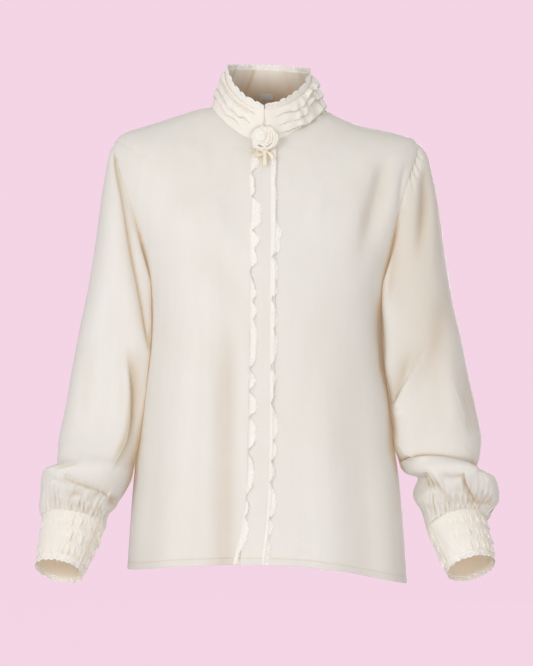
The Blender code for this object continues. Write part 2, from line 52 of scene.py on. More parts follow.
WALL = 0.6                     # shell of the large pieces
FINE = 0.45                    # shell of ruffles and lace
ARM_W0, ARM_W1 = 0.60, 0.85
ARM_BUMP_FRONT, ARM_BUMP_BACK = 48.0, 54.0
PLACKET_HALF = 17.0
COLLAR_RIM_R, COLLAR_RIM_L = 55.5, 61.0
COLLAR_RIM_FRONT, COLLAR_RIM_BACK = -70.0, 62.0
CUFF_OVERLAP = 16.0
HEM = 9.5                      # depth of the turned hem

# body rows, hem (w 0) to neckline (w 1); the columns are those of the frame
BODY_ROWS = [
    # w     zf    zb    zr    zl    xr     xl    yf    ys   yb   n     xc
    (0.00, -613, -634, -629, -649, 189.5, 191.5, -143, -22, 114, 2.30, -19.0),
    (0.10, -560, -572, -570, -582, 185.5, 187.0, -140, -22, 111, 2.30, -13.0),
    (0.20, -500, -506, -505, -510, 180.5, 181.0, -137, -22, 108, 2.30, -9.0),
    (0.30, -440, -442, -442, -444, 173.0, 171.5, -134, -22, 106, 2.32, -7.5),
    (0.40, -380, -380, -380, -380, 166.0, 164.0, -132, -21, 104, 2.34, -6.5),
    (0.50, -315, -315, -315, -315, 159.5, 159.0, -129, -19, 103, 2.36, -5.5),
    (0.56, -272, -272, -272, -272, 160.0, 160.0, -126, -16, 104, 2.38, -5.0),
    (0.60, -243, -240, -243, -243, 163.5, 164.0, -122, -12, 106, 2.40, -4.5),
    (0.675, -206, -190, -183, -184, 170.5, 172.0, -114, -8, 109, 2.20, -4.2),
    (0.735, -172, -150, -135, -136, 183.0, 182.0, -105, -5, 109, 2.08, -4.0),
    (0.79, -141, -111, -91, -93, 198.0, 196.0, -96, -1, 106, 2.02, -3.8),
    (0.85, -108, -72, -43, -46, 208.0, 208.0, -86, 2, 101, 2.00, -3.5),
    (0.88, -96, -55, -31, -38, 190.0, 193.0, -82, 3, 97, 2.00, -3.4),
    (0.91, -84, -38, -22, -30, 161.0, 163.0, -78, 5, 92, 2.00, -3.2),
    (0.94, -72, -20, -10, -23, 125.0, 128.0, -73, 6, 86, 2.00, -3.0),
    (0.97, -61, -2, -1, -11, 97.0, 99.0, -68, 7, 78, 2.00, -2.8),
    (1.00, -50, 15, 3, 1, 77.0, 78.0, -62, 8, 68, 2.00, -2.6),
]
SLEEVE_L = [
    # s     xo     zo    xi     zi    yf    yb   pitch  n
    (0.00, 208.0, -46, 164.0, -243, -56, 56, 0.00, 2.1),
    (0.05, 222.0, -66, 164.0, -247, -60, 60, 0.00, 2.1),
    (0.10, 231.0, -100, 163.5, -255, -63, 64, 0.00, 2.1),
    (0.17, 238.0, -145, 163.0, -268, -65, 67, 0.00, 2.2),
    (0.25, 244.5, -190, 163.5, -284, -65, 68, 0.00, 2.3),
    (0.33, 250.5, -233, 165.5, -304, -64, 69, 0.00, 2.4),
    (0.41, 258.0, -272, 166.5, -327, -62, 69, 0.00, 2.4),
    (0.50, 267.5, -312, 167.5, -356, -60, 69, 0.00, 2.4),
    (0.58, 277.0, -360, 168.5, -388, -59, 67, 0.02, 2.3),
    (0.67, 288.0, -412, 173.0, -428, -66, 56, 0.08, 2.2),
    (0.75, 294.0, -456, 178.0, -466, -80, 38, 0.18, 2.1),
    (0.80, 290.0, -485, 182.0, -488, -86, 24, 0.28, 2.1),
    (0.84, 288.0, -499, 186.0, -496, -92, 16, 0.36, 2.1),
    (0.89, 311.0, -514, 192.0, -511, -108, 8, 0.42, 2.1),
    (0.94, 312.0, -538, 206.0, -530, -105, -6, 0.48, 2.1),
    (1.00, 292.0, -556, 216.0, -566, -98, -24, 0.55, 2.1),
]
SLEEVE_R = [
    # s     xo     zo    xi     zi    yf    yb   pitch  n
    (0.00, 208.0, -43, 163.5, -243, -56, 56, 0.00, 2.1),
    (0.05, 216.5, -62, 163.5, -247, -60, 60, 0.00, 2.1),
    (0.10, 223.5, -98, 163.0, -255, -63, 64, 0.00, 2.1),
    (0.17, 229.5, -140, 162.0, -267, -65, 67, 0.00, 2.2),
    (0.25, 235.5, -185, 161.5, -282, -65, 68, 0.00, 2.3),
    (0.33, 242.0, -228, 161.0, -302, -64, 69, 0.00, 2.5),
    (0.41, 249.5, -268, 161.0, -325, -63, 69, 0.00, 2.6),
    (0.50, 259.0, -312, 162.0, -356, -62, 69, 0.00, 2.6),
    (0.58, 268.5, -362, 164.0, -394, -62, 67, 0.02, 2.5),
    (0.67, 277.0, -416, 170.0, -440, -68, 56, 0.08, 2.3),
    (0.75, 284.0, -456, 177.0, -478, -82, 38, 0.18, 2.1),
    (0.80, 284.0, -478, 181.0, -496, -92, 24, 0.28, 2.1),
    (0.84, 281.0, -490, 184.0, -507, -99, 16, 0.36, 2.1),
    (0.89, 304.0, -506, 191.0, -520, -106, 8, 0.42, 2.1),
    (0.94, 307.0, -532, 205.0, -540, -104, -6, 0.48, 2.1),
    (1.00, 301.0, -553, 221.0, -560, -98, -24, 0.55, 2.1),
]
CUFFS = {
    "right": dict(side=-1, top=(261.0, -60, -565), rim=(275.0, -98, -621),
                  r_top=(42.0, 36.5), r_rim=(32.5, 30.5), closure=142.0),
    "left": dict(side=1, top=(256.0, -60, -566), rim=(271.0, -99, -617),
                 r_top=(40.0, 36.5), r_rim=(32.5, 30.5), closure=150.0),
}

# Creases.  side_a: half width on the viewer's left of a line that runs down
# (below one that runs to the right); side_b: on the other side; depth: minus
# is a trough; power: 1 is sharp, 2 soft; fade_a, fade_b: part of the length
# over which it dies away at its start and end; then the points of the line.
# Lines on the front are in pixels of the front view.
FRONT_CREASES = [
    # side_a side_b depth power fade_a fade_b points
    (14, 12, -9.5, 2.0, .40, 0.0, [(229, 285), (227, 350), (225, 420), (225, 500), (225, 575)]),
    (20, 18, 5.0, 2.0, .40, 0.0, [(190, 290), (184, 390), (178, 480), (175, 575)]),
    (10, 12, -2.6, 2.0, .35, 0.0, [(156, 400), (150, 480), (146, 575)]),
    (26, 26, 4.0, 2.0, .30, .30, [(160, 205), (200, 215), (238, 210)]),
    (15, 18, -3.6, 2.0, .45, .35, [(196, 246), (216, 262), (232, 290), (236, 330)]),
    (26, 26, 4.0, 2.0, .30, .30, [(300, 210), (335, 215), (372, 208)]),
    (9, 9, -7.5, 2.0, .25, .55, [(388, 150), (379, 192), (367, 236), (358, 275)]),
    (9, 9, 2.6, 2.0, .30, .40, [(398, 180), (390, 226), (381, 268)]),
    (2.6, 3.0, -2.6, 1.5, .35, .25, [(406, 160), (402, 184), (399.5, 205), (398.5, 216)]),
    (7, 6, -4.5, 1.8, .40, .30, [(372, 270), (378, 305), (381, 341), (384, 366), (386, 400)]),
    (20, 16, -3.6, 2.0, .45, 0.0, [(352, 330), (358, 420), (366, 500), (370, 585)]),
    (18, 18, 3.0, 2.0, .45, 0.0, [(322, 340), (324, 430), (328, 510), (330, 575)]),
    (14, 14, 2.4, 2.0, .45, 0.0, [(376, 440), (386, 510), (391, 585)]),
    (2.2, 2.4, -0.7, 2.0, .40, .30, [(286, 145.5), (296, 146), (306, 145)]),
    (2.2, 2.4, -0.7, 2.0, .30, .40, [(236, 146), (244, 146.5), (251, 146)]),
    (1.8, 1.8, -0.9, 1.6, .20, .30, [(328, 112), (325, 118), (324, 125)]),
    (2.0, 2.0, -0.8, 1.8, .30, .30, [(290, 552), (300, 554), (312, 556)]),
    (8, 7, 1.4, 2.0, .40, .40, [(172, 140), (196, 150), (214, 176)]),
]
# Lines on the back are in mm, as seen from behind with x to the wearer's left.
BACK_CREASES = [
    (26, 24, -6.0, 2.0, .35, 0.0, [(-62, -250), (-70, -380), (-82, -520), (-90, -660)]),
    (24, 26, 5.0, 2.0, .35, 0.0, [(-22, -270), (-26, -420), (-30, -660)]),
    (20, 24, -5.0, 2.0, .35, 0.0, [(34, -240), (36, -400), (44, -540), (50, -660)]),
    (22, 20, 4.5, 2.0, .40, 0.0, [(88, -280), (96, -440), (104, -660)]),
    (14, 18, -4.6, 2.0, .40, 0.0, [(126, -330), (134, -480), (140, -670)]),
    (13, 15, -4.0, 2.0, .30, .50, [(150, -120), (138, -190), (122, -260), (110, -330)]),
    (13, 15, -4.0, 2.0, .30, .50, [(-152, -116), (-140, -190), (-126, -250), (-116, -320)]),
    (30, 30, 3.0, 2.0, .30, .30, [(-90, -110), (-84, -170), (-80, -230)]),
    (30, 30, 3.0, 2.0, .30, .30, [(86, -110), (82, -170), (80, -230)]),
    (16, 16, -2.4, 2.0, .30, .30, [(-60, -70), (0, -84), (60, -72)]),
]
# sleeve on the viewer's left, the garment's right
RIGHT_SLEEVE_CREASES = [
    (8.0, 3.0, -2.2, 2.0, .45, .25, [(121, 200), (128.5, 240), (136, 280), (144, 322), (150, 352)]),
    (5.0, 6.0, 1.6, 2.0, .30, .30, [(127, 205), (137, 250), (145, 290)]),
    (7.0, 6.0, 2.2, 2.0, .40, .40, [(112, 330), (117, 390), (115, 430)]),
    (9.0, 9.0, -2.2, 2.0, .40, .40, [(88, 330), (84, 390), (80, 440)]),
    (1.8, 2.0, -1.7, 1.5, .20, .20, [(49, 479), (57, 480.8), (65, 485), (70.5, 490)]),
    (3.0, 5.0, -2.4, 1.8, .30, .30, [(68, 500), (72, 495.5), (78, 494.5), (83, 496)]),
    (4.0, 3.0, -5.0, 1.6, .20, .20, [(109, 500), (114, 500.5), (118, 501)]),
]
# sleeve on the viewer's right, the garment's left
LEFT_SLEEVE_CREASES = [
    (1.4, 1.3, -2.6, 1.5, 0.0, .35, [(413.5, 149), (416.5, 153.5), (422, 161)]),
    (1.4, 1.4, -2.8, 1.5, 0.0, .35, [(412.5, 156), (415, 161), (420.5, 172)]),
    (1.5, 1.4, -2.6, 1.5, 0.0, .40, [(411, 164), (413.5, 170), (418, 181)]),
    (1.3, 1.3, -2.0, 1.5, 0.0, .40, [(410, 173), (411.5, 181), (414, 193)]),
    (6.0, 5.0, -7.0, 2.0, .25, .60, [(424.5, 158), (426.4, 186), (424.6, 215), (420.5, 243), (414, 272)]),
    (5.0, 6.0, 1.6, 2.0, .30, .40, [(434, 190), (434, 240), (430, 290)]),
    (2.4, 3.2, -1.5, 1.8, .20, .40, [(399, 212), (404, 211.5), (409, 209)]),
    (10., 11., -2.6, 2.0, .35, .40, [(440, 280), (440, 325), (432, 360), (424, 400)]),
    (7.0, 8.0, 2.6, 2.0, .30, .30, [(448, 350), (452, 390), (456, 430)]),
    (1.4, 1.4, 0.9, 1.8, .20, .20, [(452, 384), (460, 402), (468, 424)]),
    (1.2, 1.2, 0.7, 1.8, .20, .20, [(459, 390), (466, 408), (474, 432)]),
    (1.4, 1.4, 0.8, 1.8, .20, .20, [(462, 446), (467, 451), (473, 455)]),
    (6.0, 5.0, -2.6, 2.0, .30, .30, [(462, 380), (469, 410), (474, 440)]),
    (4.0, 3.0, 2.6, 1.8, .20, .20, [(431, 470), (440, 482), (449, 493), (455, 502)]),
    (3.6, 3.6, -2.8, 1.7, .30, .30, [(440, 476), (452, 479), (464, 477)]),
    (1.2, 1.2, -2.2, 1.4, .25, .10, [(451, 488), (456, 494), (461, 502)]),
    (1.2, 1.2, -2.0, 1.4, .25, .10, [(455, 487), (461, 493), (466, 501)]),
    (1.2, 1.2, -2.2, 1.4, .25, .10, [(461, 488), (467, 494), (471, 503)]),
    (1.3, 1.6, -2.8, 1.4, .25, .10, [(482, 489), (483, 497), (485, 506)]),
    (1.1, 1.3, -2.4, 1.4, .25, .10, [(487, 494), (487, 500), (488, 507)]),
    (2.6, 2.6, -3.8, 1.6, .20, .20, [(424, 472), (425.5, 479), (421, 487)]),
    (2.0, 2.4, -1.8, 1.7, .25, .25, [(420, 500), (430, 497), (440, 498.5), (449, 504)]),
    (5.0, 4.0, 2.2, 1.8, .30, .30, [(484, 476), (491, 486), (493, 497)]),
]
# Folds that overhang, pixels of the front view and mm: side_a is over side_b;
# drop is how deep side b goes, rise how far side a swells, lap how far it
# reaches over.
RIGHT_SLEEVE_LAPS = [
    # side_a side_b drop rise lap fade_a fade_b points
    (5.0, 4.2, 3.4, 1.2, 0.9, .12, .10,
     [(150.5, 356), (145, 325), (137.8, 287), (130, 245), (123.3, 207), (118, 180), (113.6, 150)]),
    (7.0, 9.0, 4.6, 1.2, 1.0, .35, .30,
     [(125, 345), (129, 372), (131.3, 404), (128, 438), (117.5, 461), (108, 477)]),
    (6.0, 4.5, 4.6, 2.0, 2.4, .08, .06, [(61, 478), (74, 483.2), (88, 488.4), (98, 491.8), (109, 497.5)]),
    (3.0, 2.2, 1.6, 0.5, 0.8, .05, .45, [(54, 471.5), (63, 468), (72, 465.2), (80, 462.5)]),
]
LEFT_SLEEVE_LAPS = [
    (11.0, 5.0, 3.2, 2.2, 1.4, .04, .55, [(392.5, 407), (403, 387), (414, 369), (425, 352), (431, 338)]),
    (7.0, 5.0, 5.2, 2.2, 2.8, .05, .05,
     [(399, 464), (411, 459), (424, 457.6), (440, 458.6), (457, 461.3), (470, 466), (480, 470)]),
    (5.0, 4.4, 5.6, 1.8, 2.2, .10, .10,
     [(477, 505), (474, 497), (469.5, 489), (466.5, 482), (464.5, 473)]),
]
# swell (+) or hollow (-) of a sleeve's inner and outer side above the cuff:
# y and half height in pixels of the front view, mm
SLEEVE_SIDES = {
    "sleeve_right": dict(inner=[(503, 6, -1.5), (518, 8, -6.0)],
                         outer=[(461, 5, 2.8), (469, 5, 3.8), (480, 5, -0.8), (492, 9, -2.5), (511, 6, 0.5)]),
    "sleeve_left": dict(inner=[(446, 9, 3.0), (483, 7, -16.0), (500, 9, 4.5)],
                        outer=[(476, 5, 1.5), (511, 5, -5.0)]),
}
# creases on the hidden back of each sleeve, mm, x outwards
SLEEVE_BACK_CREASES = [
    (10, 9, -4.5, 1.9, .25, .35, [(222, -90), (214, -170), (206, -250), (198, -320)]),
    (9, 10, 2.6, 2.0, .30, .40, [(238, -150), (234, -240), (232, -320)]),
    (12, 10, -5.0, 1.8, .25, .30, [(250, -330), (232, -380), (212, -420), (190, -445)]),
    (10, 12, -3.6, 2.0, .30, .30, [(268, -380), (258, -430), (244, -470)]),
    (6, 8, -5.0, 1.4, .12, .12, [(190, -486), (220, -492), (256, -490), (290, -488)]),
    (6, 6, -2.6, 1.7, .20, .20, [(236, -516), (250, -508), (268, -512)]),
]
# short gather lines above the cuff, seen from the front: x, top y, foot y
# and depth, pixels and mm
GATHERS_R = [
    (52.0, 494, 510, 1.1), (55.6, 493, 510, 1.5), (59.7, 494, 509, 1.7), (64.5, 500, 511, 1.1),
    (69.0, 499, 512, 1.6), (72.5, 501, 513, 1.5), (76.0, 499, 513, 1.8), (80.0, 501, 514, 1.7),
    (84.5, 496, 515, 2.2), (88.6, 503, 517, 1.6), (92.0, 500, 518, 1.4), (95.0, 507, 520, 1.7),
    (98.5, 506, 518, 1.4), (101.5, 505, 514, 1.2),
]
GATHERS_L = [
    (433.0, 500, 517, 1.0), (438.0, 503, 515, 1.0), (443.0, 500, 513, 1.1), (448.0, 500, 513, 1.3),
    (453.0, 496, 511, 1.5), (458.0, 497, 511, 1.4), (463.0, 496, 511, 1.5), (468.0, 497, 511, 1.6),
    (472.5, 495, 512, 1.5), (477.0, 497, 513, 1.7), (481.0, 496, 512, 1.4),
]

# placket trims, front view pixels: y, x of the sewn edge
TRIM_SEAM_R = [(140, 252.8), (162, 251.8), (176, 249.9), (190, 250.2), (200, 252.0),
               (214, 252.0), (228, 250.4), (240, 250.0), (250, 250.6), (300, 250.2), (400, 249.3), (480, 247.3),
               (530, 241.2), (558, 233.8), (575, 229.5)]
TRIM_SEAM_L = [(140, 271.6), (250, 271.0), (330, 270.4), (450, 269.8), (500, 268.3), (530, 265.8),
               (562, 261.6), (580, 259.6)]
# y, x of the free edge
TRIM_EDGE_R = [
    (144, 257.0), (158, 258.5), (166, 258.3), (173.4, 251.8), (178.5, 254.2), (187, 254.6), (193.8, 254.9),
    (196.3, 252.2), (200, 255.6), (204, 259.5), (208, 261.2), (216, 260.9), (224.4, 259.9), (230.8, 253.0),
    (235, 257.0), (239.7, 259.9), (244, 258.2), (248.6, 255.2), (256, 256.7), (264, 256.7), (269, 251.2),
    (278, 252.5), (287, 254.9), (294.5, 256.7), (302, 253.2), (308.6, 257.1), (315, 256.0), (319, 253.8),
    (326, 256.0), (337, 256.9), (350, 256.5), (362, 254.8), (370.3, 250.6), (375, 254.2), (380, 255.9),
    (385.5, 254.5), (390.6, 249.8), (396, 254.5), (401.7, 256.8), (411, 255.5), (417.4, 250.1), (423, 255.0),
    (429.5, 256.8), (438, 255.7), (444, 254.0), (451.6, 248.3), (460, 252.6), (472, 254.1), (480, 253.5),
    (487, 252.0), (497.9, 246.4), (502, 248.2), (507, 249.0), (512, 248.0), (517, 245.8), (523, 248.5),
    (529.3, 248.9), (536, 247.5), (542, 245.5), (548, 242.6), (553.4, 239.3), (560, 238.0), (568, 236.0),
]
TRIM_EDGE_L = [
    (144, 276.0), (173, 276.6), (183, 275.2), (193.8, 277.2), (206.5, 276.2), (225.7, 277.9), (229, 280.5),
    (232, 282.8), (236, 281.7), (239, 280.0), (251, 279.0), (254, 275.2), (256.5, 272.6), (260, 275.7),
    (264, 277.2), (274, 277.8), (284, 276.0), (293, 277.0), (299.6, 271.6), (304, 274.2), (308.6, 276.0),
    (316, 276.5), (323, 277.0), (328, 274.0), (337, 276.6), (348, 277.2), (358, 275.5), (368.4, 271.4),
    (372, 275.0), (376, 277.0), (382, 275.5), (388.8, 273.8), (396, 274.4), (403.6, 271.8), (411, 275.2),
    (418.4, 276.9), (429.5, 278.2), (436, 276.0), (440, 273.8), (446, 276.6), (451.6, 277.2), (457, 275.0),
    (461, 271.8), (466, 274.0), (472, 274.8), (478, 273.3), (482, 270.4), (490, 274.2), (501.5, 276.5),
    (509, 275.6), (514, 274.0), (518, 270.2), (522, 272.6), (525.6, 273.4), (532, 271.6), (538.6, 269.0),
    (546, 270.4), (555, 268.8), (562.6, 267.8), (575, 266.0),
]

# Painted shade, a warmer and darker colour along folds: side_a side_b weight power fade_a fade_b points, in
# pixels of the front view
FRONT_PAINTED_SHADE = [
    (9, 8, .34, 2.0, .35, .05, [(229, 300), (227, 350), (225, 420), (225, 500), (225, 575)]),
    (12, 10, .05, 2.0, .35, .35, [(196, 246), (216, 262), (232, 290), (238, 330)]),
    (9, 9, .20, 2.0, .30, .60, [(388, 150), (379, 192), (367, 236), (358, 275)]),
    (7, 5, .42, 1.8, .35, .35, [(380, 290), (382, 320), (385, 350), (388, 380), (391, 410)]),
]
# painted shade along the sleeves' folds, with the same columns
SLEEVE_PAINTED_SHADE = {
    "sleeve_right": [
        (1.3, 3.4, .85, 1.6, .06, .05, [(113.7, 148.8), (114.7, 161), (117.9, 178), (122, 201),
                                        (128.3, 238.8), (133.5, 268), (138.8, 293), (145, 328.7),
                                        (150.3, 356)]),
        (2.4, 6.5, .70, 1.8, .25, .20, [(127.0, 342), (129.4, 362), (130.8, 381), (130.2, 402),
                                        (125.6, 433), (117, 454), (108.4, 471)]),
        (9, 12, .24, 2.0, .20, .20, [(140, 330), (141, 365), (139, 400), (133, 450), (125, 488)]),
        (4.5, 4.5, .50, 1.8, .15, .15, [(108, 498), (113, 501), (119, 502)]),
        (1.1, 1.8, .38, 1.6, .25, .10, [(58, 477.4), (71, 483.4), (90, 489.7), (106.6, 497)]),
        (2.4, 3.0, .30, 1.8, .30, .30, [(52, 470.5), (60, 467), (70, 465), (82, 463)]),
        (2.0, 3.0, .45, 1.6, .20, .20, [(68, 500), (72, 495.5), (78, 494.5), (84, 496)]),
        (2.0, 2.5, .40, 1.6, .20, .20, [(88, 503), (91, 497), (96, 495), (101, 497)]),
    ],
    "sleeve_left": [
        (6, 7, .16, 2.0, .30, .70, [(424.5, 170), (425.4, 191), (424, 214), (420, 247), (414.5, 276)]),
        (3.0, 5.0, .40, 1.8, .30, .30, [(399, 212), (396, 232), (393, 255), (390, 285), (388, 310)]),
        (7.0, 7.0, .10, 2.0, .30, .30, [(404, 235), (400, 265), (397, 295), (395, 325)]),
        (10, 3.0, .52, 1.8, .55, .15, [(414, 338), (405, 366), (399, 388), (394.5, 406)]),
        (4.0, 5.0, .45, 1.8, .20, .15, [(395.6, 410), (394.6, 425), (396, 440), (399, 455)]),
        (7, 9, .20, 2.0, .45, .40, [(444, 262), (443, 300), (440, 330), (435, 352), (431, 372)]),
        (28, 28, .31, 2.4, .25, .35, [(414, 150), (414, 200), (416, 250), (418, 300), (422, 345),
                                      (434, 395), (446, 445)]),
        (7, 8, .20, 2.0, .30, .30, [(461, 360), (467, 390), (472, 420), (474, 445)]),
        (1.3, 2.0, .70, 1.5, .10, .10, [(401, 461.8), (417, 458.6), (437.8, 458.6), (458.7, 462),
                                        (477.5, 468.2)]),
        (3.2, 3.0, .80, 1.8, .20, .20, [(470, 463), (475, 466), (479, 469)]),
        (1.6, 2.4, .75, 1.5, .15, .10, [(465, 477), (467, 485.5), (471, 491), (476, 497),
                                        (484, 505)]),
        (2.0, 2.5, .38, 1.6, .15, .15, [(425, 477), (435.7, 483), (441, 489), (448, 496),
                                        (455, 503)]),
        (2.4, 3.4, .45, 1.6, .20, .20, [(492, 497), (489.5, 501), (486, 505)]),
        (3.0, 3.0, .45, 1.8, .20, .20, [(417, 507), (421, 512), (424, 517)]),
        (3.4, 4.6, .28, 1.8, .20, .20, [(423, 473), (424.6, 480), (420.5, 488)]),
    ],
}


# ------------------------------------------------------------------ helpers
def smooth(t):
    t = np.clip(t, 0.0, 1.0)
    return t * t * (3.0 - 2.0 * t)


def spow(v, p):
    return np.sign(v) * np.abs(v) ** p


def unit(v):
    return v / np.maximum(np.linalg.norm(v, axis=-1, keepdims=True), 1e-9)


def vec(x, y, z):
    return np.stack(np.broadcast_arrays(x, y, z), axis=-1).astype(float)


class Table:
    """Smooth columns of a table, read at any key (its first column)."""

    def __init__(self, rows, blur=0.0, fine=1600):
        a = np.array(rows, float)
        k, v = a[:, 0], a[:, 1:]
        x = np.linspace(k[0], k[-1], fine)
        i = np.clip(np.searchsorted(k, x, side="right") - 1, 0, len(k) - 2)
        h = (k[i + 1] - k[i])[:, None]
        t = (x - k[i])[:, None] / h
        slope = (v[1:] - v[:-1]) / (k[1:] - k[:-1])[:, None]
        m = np.empty_like(v)
        m[0], m[-1] = slope[0], slope[-1]
        m[1:-1] = 0.5 * (slope[1:] + slope[:-1])
        y = ((1 + 2 * t) * (1 - t) ** 2 * v[i] + t * (1 - t) ** 2 * h * m[i]
             + t * t * (3 - 2 * t) * v[i + 1] + t * t * (t - 1) * h * m[i + 1])
        if blur > 0:
            s = blur / (x[1] - x[0])
            r = int(4 * s)
            kern = np.exp(-0.5 * (np.arange(-r, r + 1) / s) ** 2)
            kern /= kern.sum()
            lo = 2 * y[0] - y[r:0:-1]
            hi = 2 * y[-1] - y[-2:-r - 2:-1]
            pad = np.vstack([lo, y, hi])
            y = np.stack([np.convolve(pad[:, c], kern, "valid")
                          for c in range(y.shape[1])], axis=1)
        self.x0, self.x1, self.y = x[0], x[-1], y
        self.step = x[1] - x[0]

    def __call__(self, key):
        f = (np.clip(np.asarray(key, float), self.x0, self.x1) - self.x0) / self.step
        i = np.clip(np.floor(f).astype(int), 0, len(self.y) - 2)
        t = (f - i)[..., None]
        y = self.y[i] * (1 - t) + self.y[i + 1] * t
        return [y[..., c] for c in range(y.shape[-1])]


def noise1(x, seed, octaves=3):
    """Smooth uneven wave of about unit size along x (in waves)."""
    rng = np.random.RandomState(seed)
    out, amp, tot = 0.0, 1.0, 0.0
    for _ in range(octaves):
        p = rng.rand(2) * 2 * PI
        out = out + amp * np.sin(2 * PI * x + p[0] + 0.7 * np.sin(
            2 * PI * x * 0.37 + p[1]))
        tot += amp
        x, amp = x * 1.83, amp * 0.6
    return out / tot


def seen(p):
    """Place of points in the front view, in pixels."""
    d = p[..., 1] - EYE_Y
    return (VIEW_CX + FOCAL * p[..., 0] / d,
            VIEW_CY - FOCAL * (p[..., 2] - EYE_Z) / d)


def normals(p, closed=False):
    """Normals of a grid of points (rows, columns, 3)."""
    if closed:
        dc = np.roll(p, -1, axis=1) - np.roll(p, 1, axis=1)
    else:
        dc = np.gradient(p, axis=1)
    return unit(np.cross(dc, np.gradient(p, axis=0)))


def line_of(points, n=36):
    """Smooth line through a few points."""
    p = np.array(points, float)
    if len(p) < 3:
        t = np.linspace(0, 1, n)[:, None]
        return p[0] * (1 - t) + p[-1] * t
    d = np.r_[0, np.cumsum(np.linalg.norm(np.diff(p, axis=0), axis=1))]
    tab = Table(np.c_[d / d[-1], p], fine=n)
    return tab.y


def crease_depth(x, y, table, keep=None):
    """Sum of all creases of a table at the places x, y."""
    out = np.zeros(x.shape)
    for side_a, side_b, depth, power, fade_a, fade_b, points in table:
        ln = line_of(points)
        reach = 3.0 * max(side_a, side_b)
        m = ((x > ln[:, 0].min() - reach) & (x < ln[:, 0].max() + reach)
             & (y > ln[:, 1].min() - reach) & (y < ln[:, 1].max() + reach))
        if keep is not None:
            m &= keep
        if not m.any():
            continue
        q = np.stack([x[m], y[m]], axis=1)
        best = np.full(len(q), 1e9)
        sgn = np.ones(len(q))
        at = np.zeros(len(q))
        for i in range(len(ln) - 1):
            a, d = ln[i], ln[i + 1] - ln[i]
            t = np.clip(((q - a) @ d) / max(d @ d, 1e-9), 0, 1)
            off = q - (a + t[:, None] * d)
            r = np.hypot(off[:, 0], off[:, 1])
            hit = r < best
            best[hit] = r[hit]
            s = -d[1] * off[:, 0] + d[0] * off[:, 1]
            sgn[hit] = np.sign(s[hit])
            at[hit] = (i + t[hit]) / (len(ln) - 1)
        w = np.where(sgn > 0, side_a, side_b)
        prof = np.exp(-((best * best + (0.12 * w) ** 2) ** 0.5 / w) ** power)
        fade = np.ones(len(q))
        if fade_a > 0:
            fade *= smooth(at / fade_a)
        if fade_b > 0:
            fade *= smooth((1 - at) / fade_b)
        out[m] += depth * prof * fade
    return out


def lap_over(x, y, table, keep):
    """Folds that overhang: depth and a sideways move (right, down) in mm."""
    out = np.zeros(x.shape)
    right, down = np.zeros(x.shape), np.zeros(x.shape)
    for side_a, side_b, drop, rise, lap, fade_a, fade_b, points in table:
        ln = line_of(points, 60)
        reach = 4.0 * max(side_a, side_b)
        m = (keep & (x > ln[:, 0].min() - reach) & (x < ln[:, 0].max() + reach)
             & (y > ln[:, 1].min() - reach) & (y < ln[:, 1].max() + reach))
        if not m.any():
            continue
        q = np.stack([x[m], y[m]], axis=1)
        best, near = np.full(len(q), 1e9), np.zeros((len(q), 2))
        sgn, at = np.ones(len(q)), np.zeros(len(q))
        perp = np.zeros((len(q), 2))
        for i in range(len(ln) - 1):
            a, d = ln[i], ln[i + 1] - ln[i]
            t = np.clip(((q - a) @ d) / max(d @ d, 1e-9), 0, 1)
            off = q - (a + t[:, None] * d)
            r = np.hypot(off[:, 0], off[:, 1])
            hit = r < best
            best[hit] = r[hit]
            sgn[hit] = np.sign(-d[1] * off[hit, 0] + d[0] * off[hit, 1])
            at[hit] = (i + t[hit]) / (len(ln) - 1)
            perp[hit] = np.array([-d[1], d[0]]) / max(np.hypot(*d), 1e-9)
        fade = smooth(at / max(fade_a, 1e-3)) * smooth((1 - at) / max(fade_b, 1e-3))
        over = smooth(0.5 + sgn * best / 1.1)          # 1 on side a, 0 on side b
        high = rise * np.exp(-(best / side_a) ** 2)
        low = -drop * np.exp(-(best / side_b) ** 1.3)
        out[m] += (over * high + (1 - over) * low) * fade
        slide = -lap * over * np.exp(-(best / side_a) ** 2) * fade
        right[m] += perp[:, 0] * slide
        down[m] += perp[:, 1] * slide
    return out, right, down


# ---------------------------------------------------------------- materials
def tone(c, f):
    return tuple(min(1.0, v * f) for v in c)


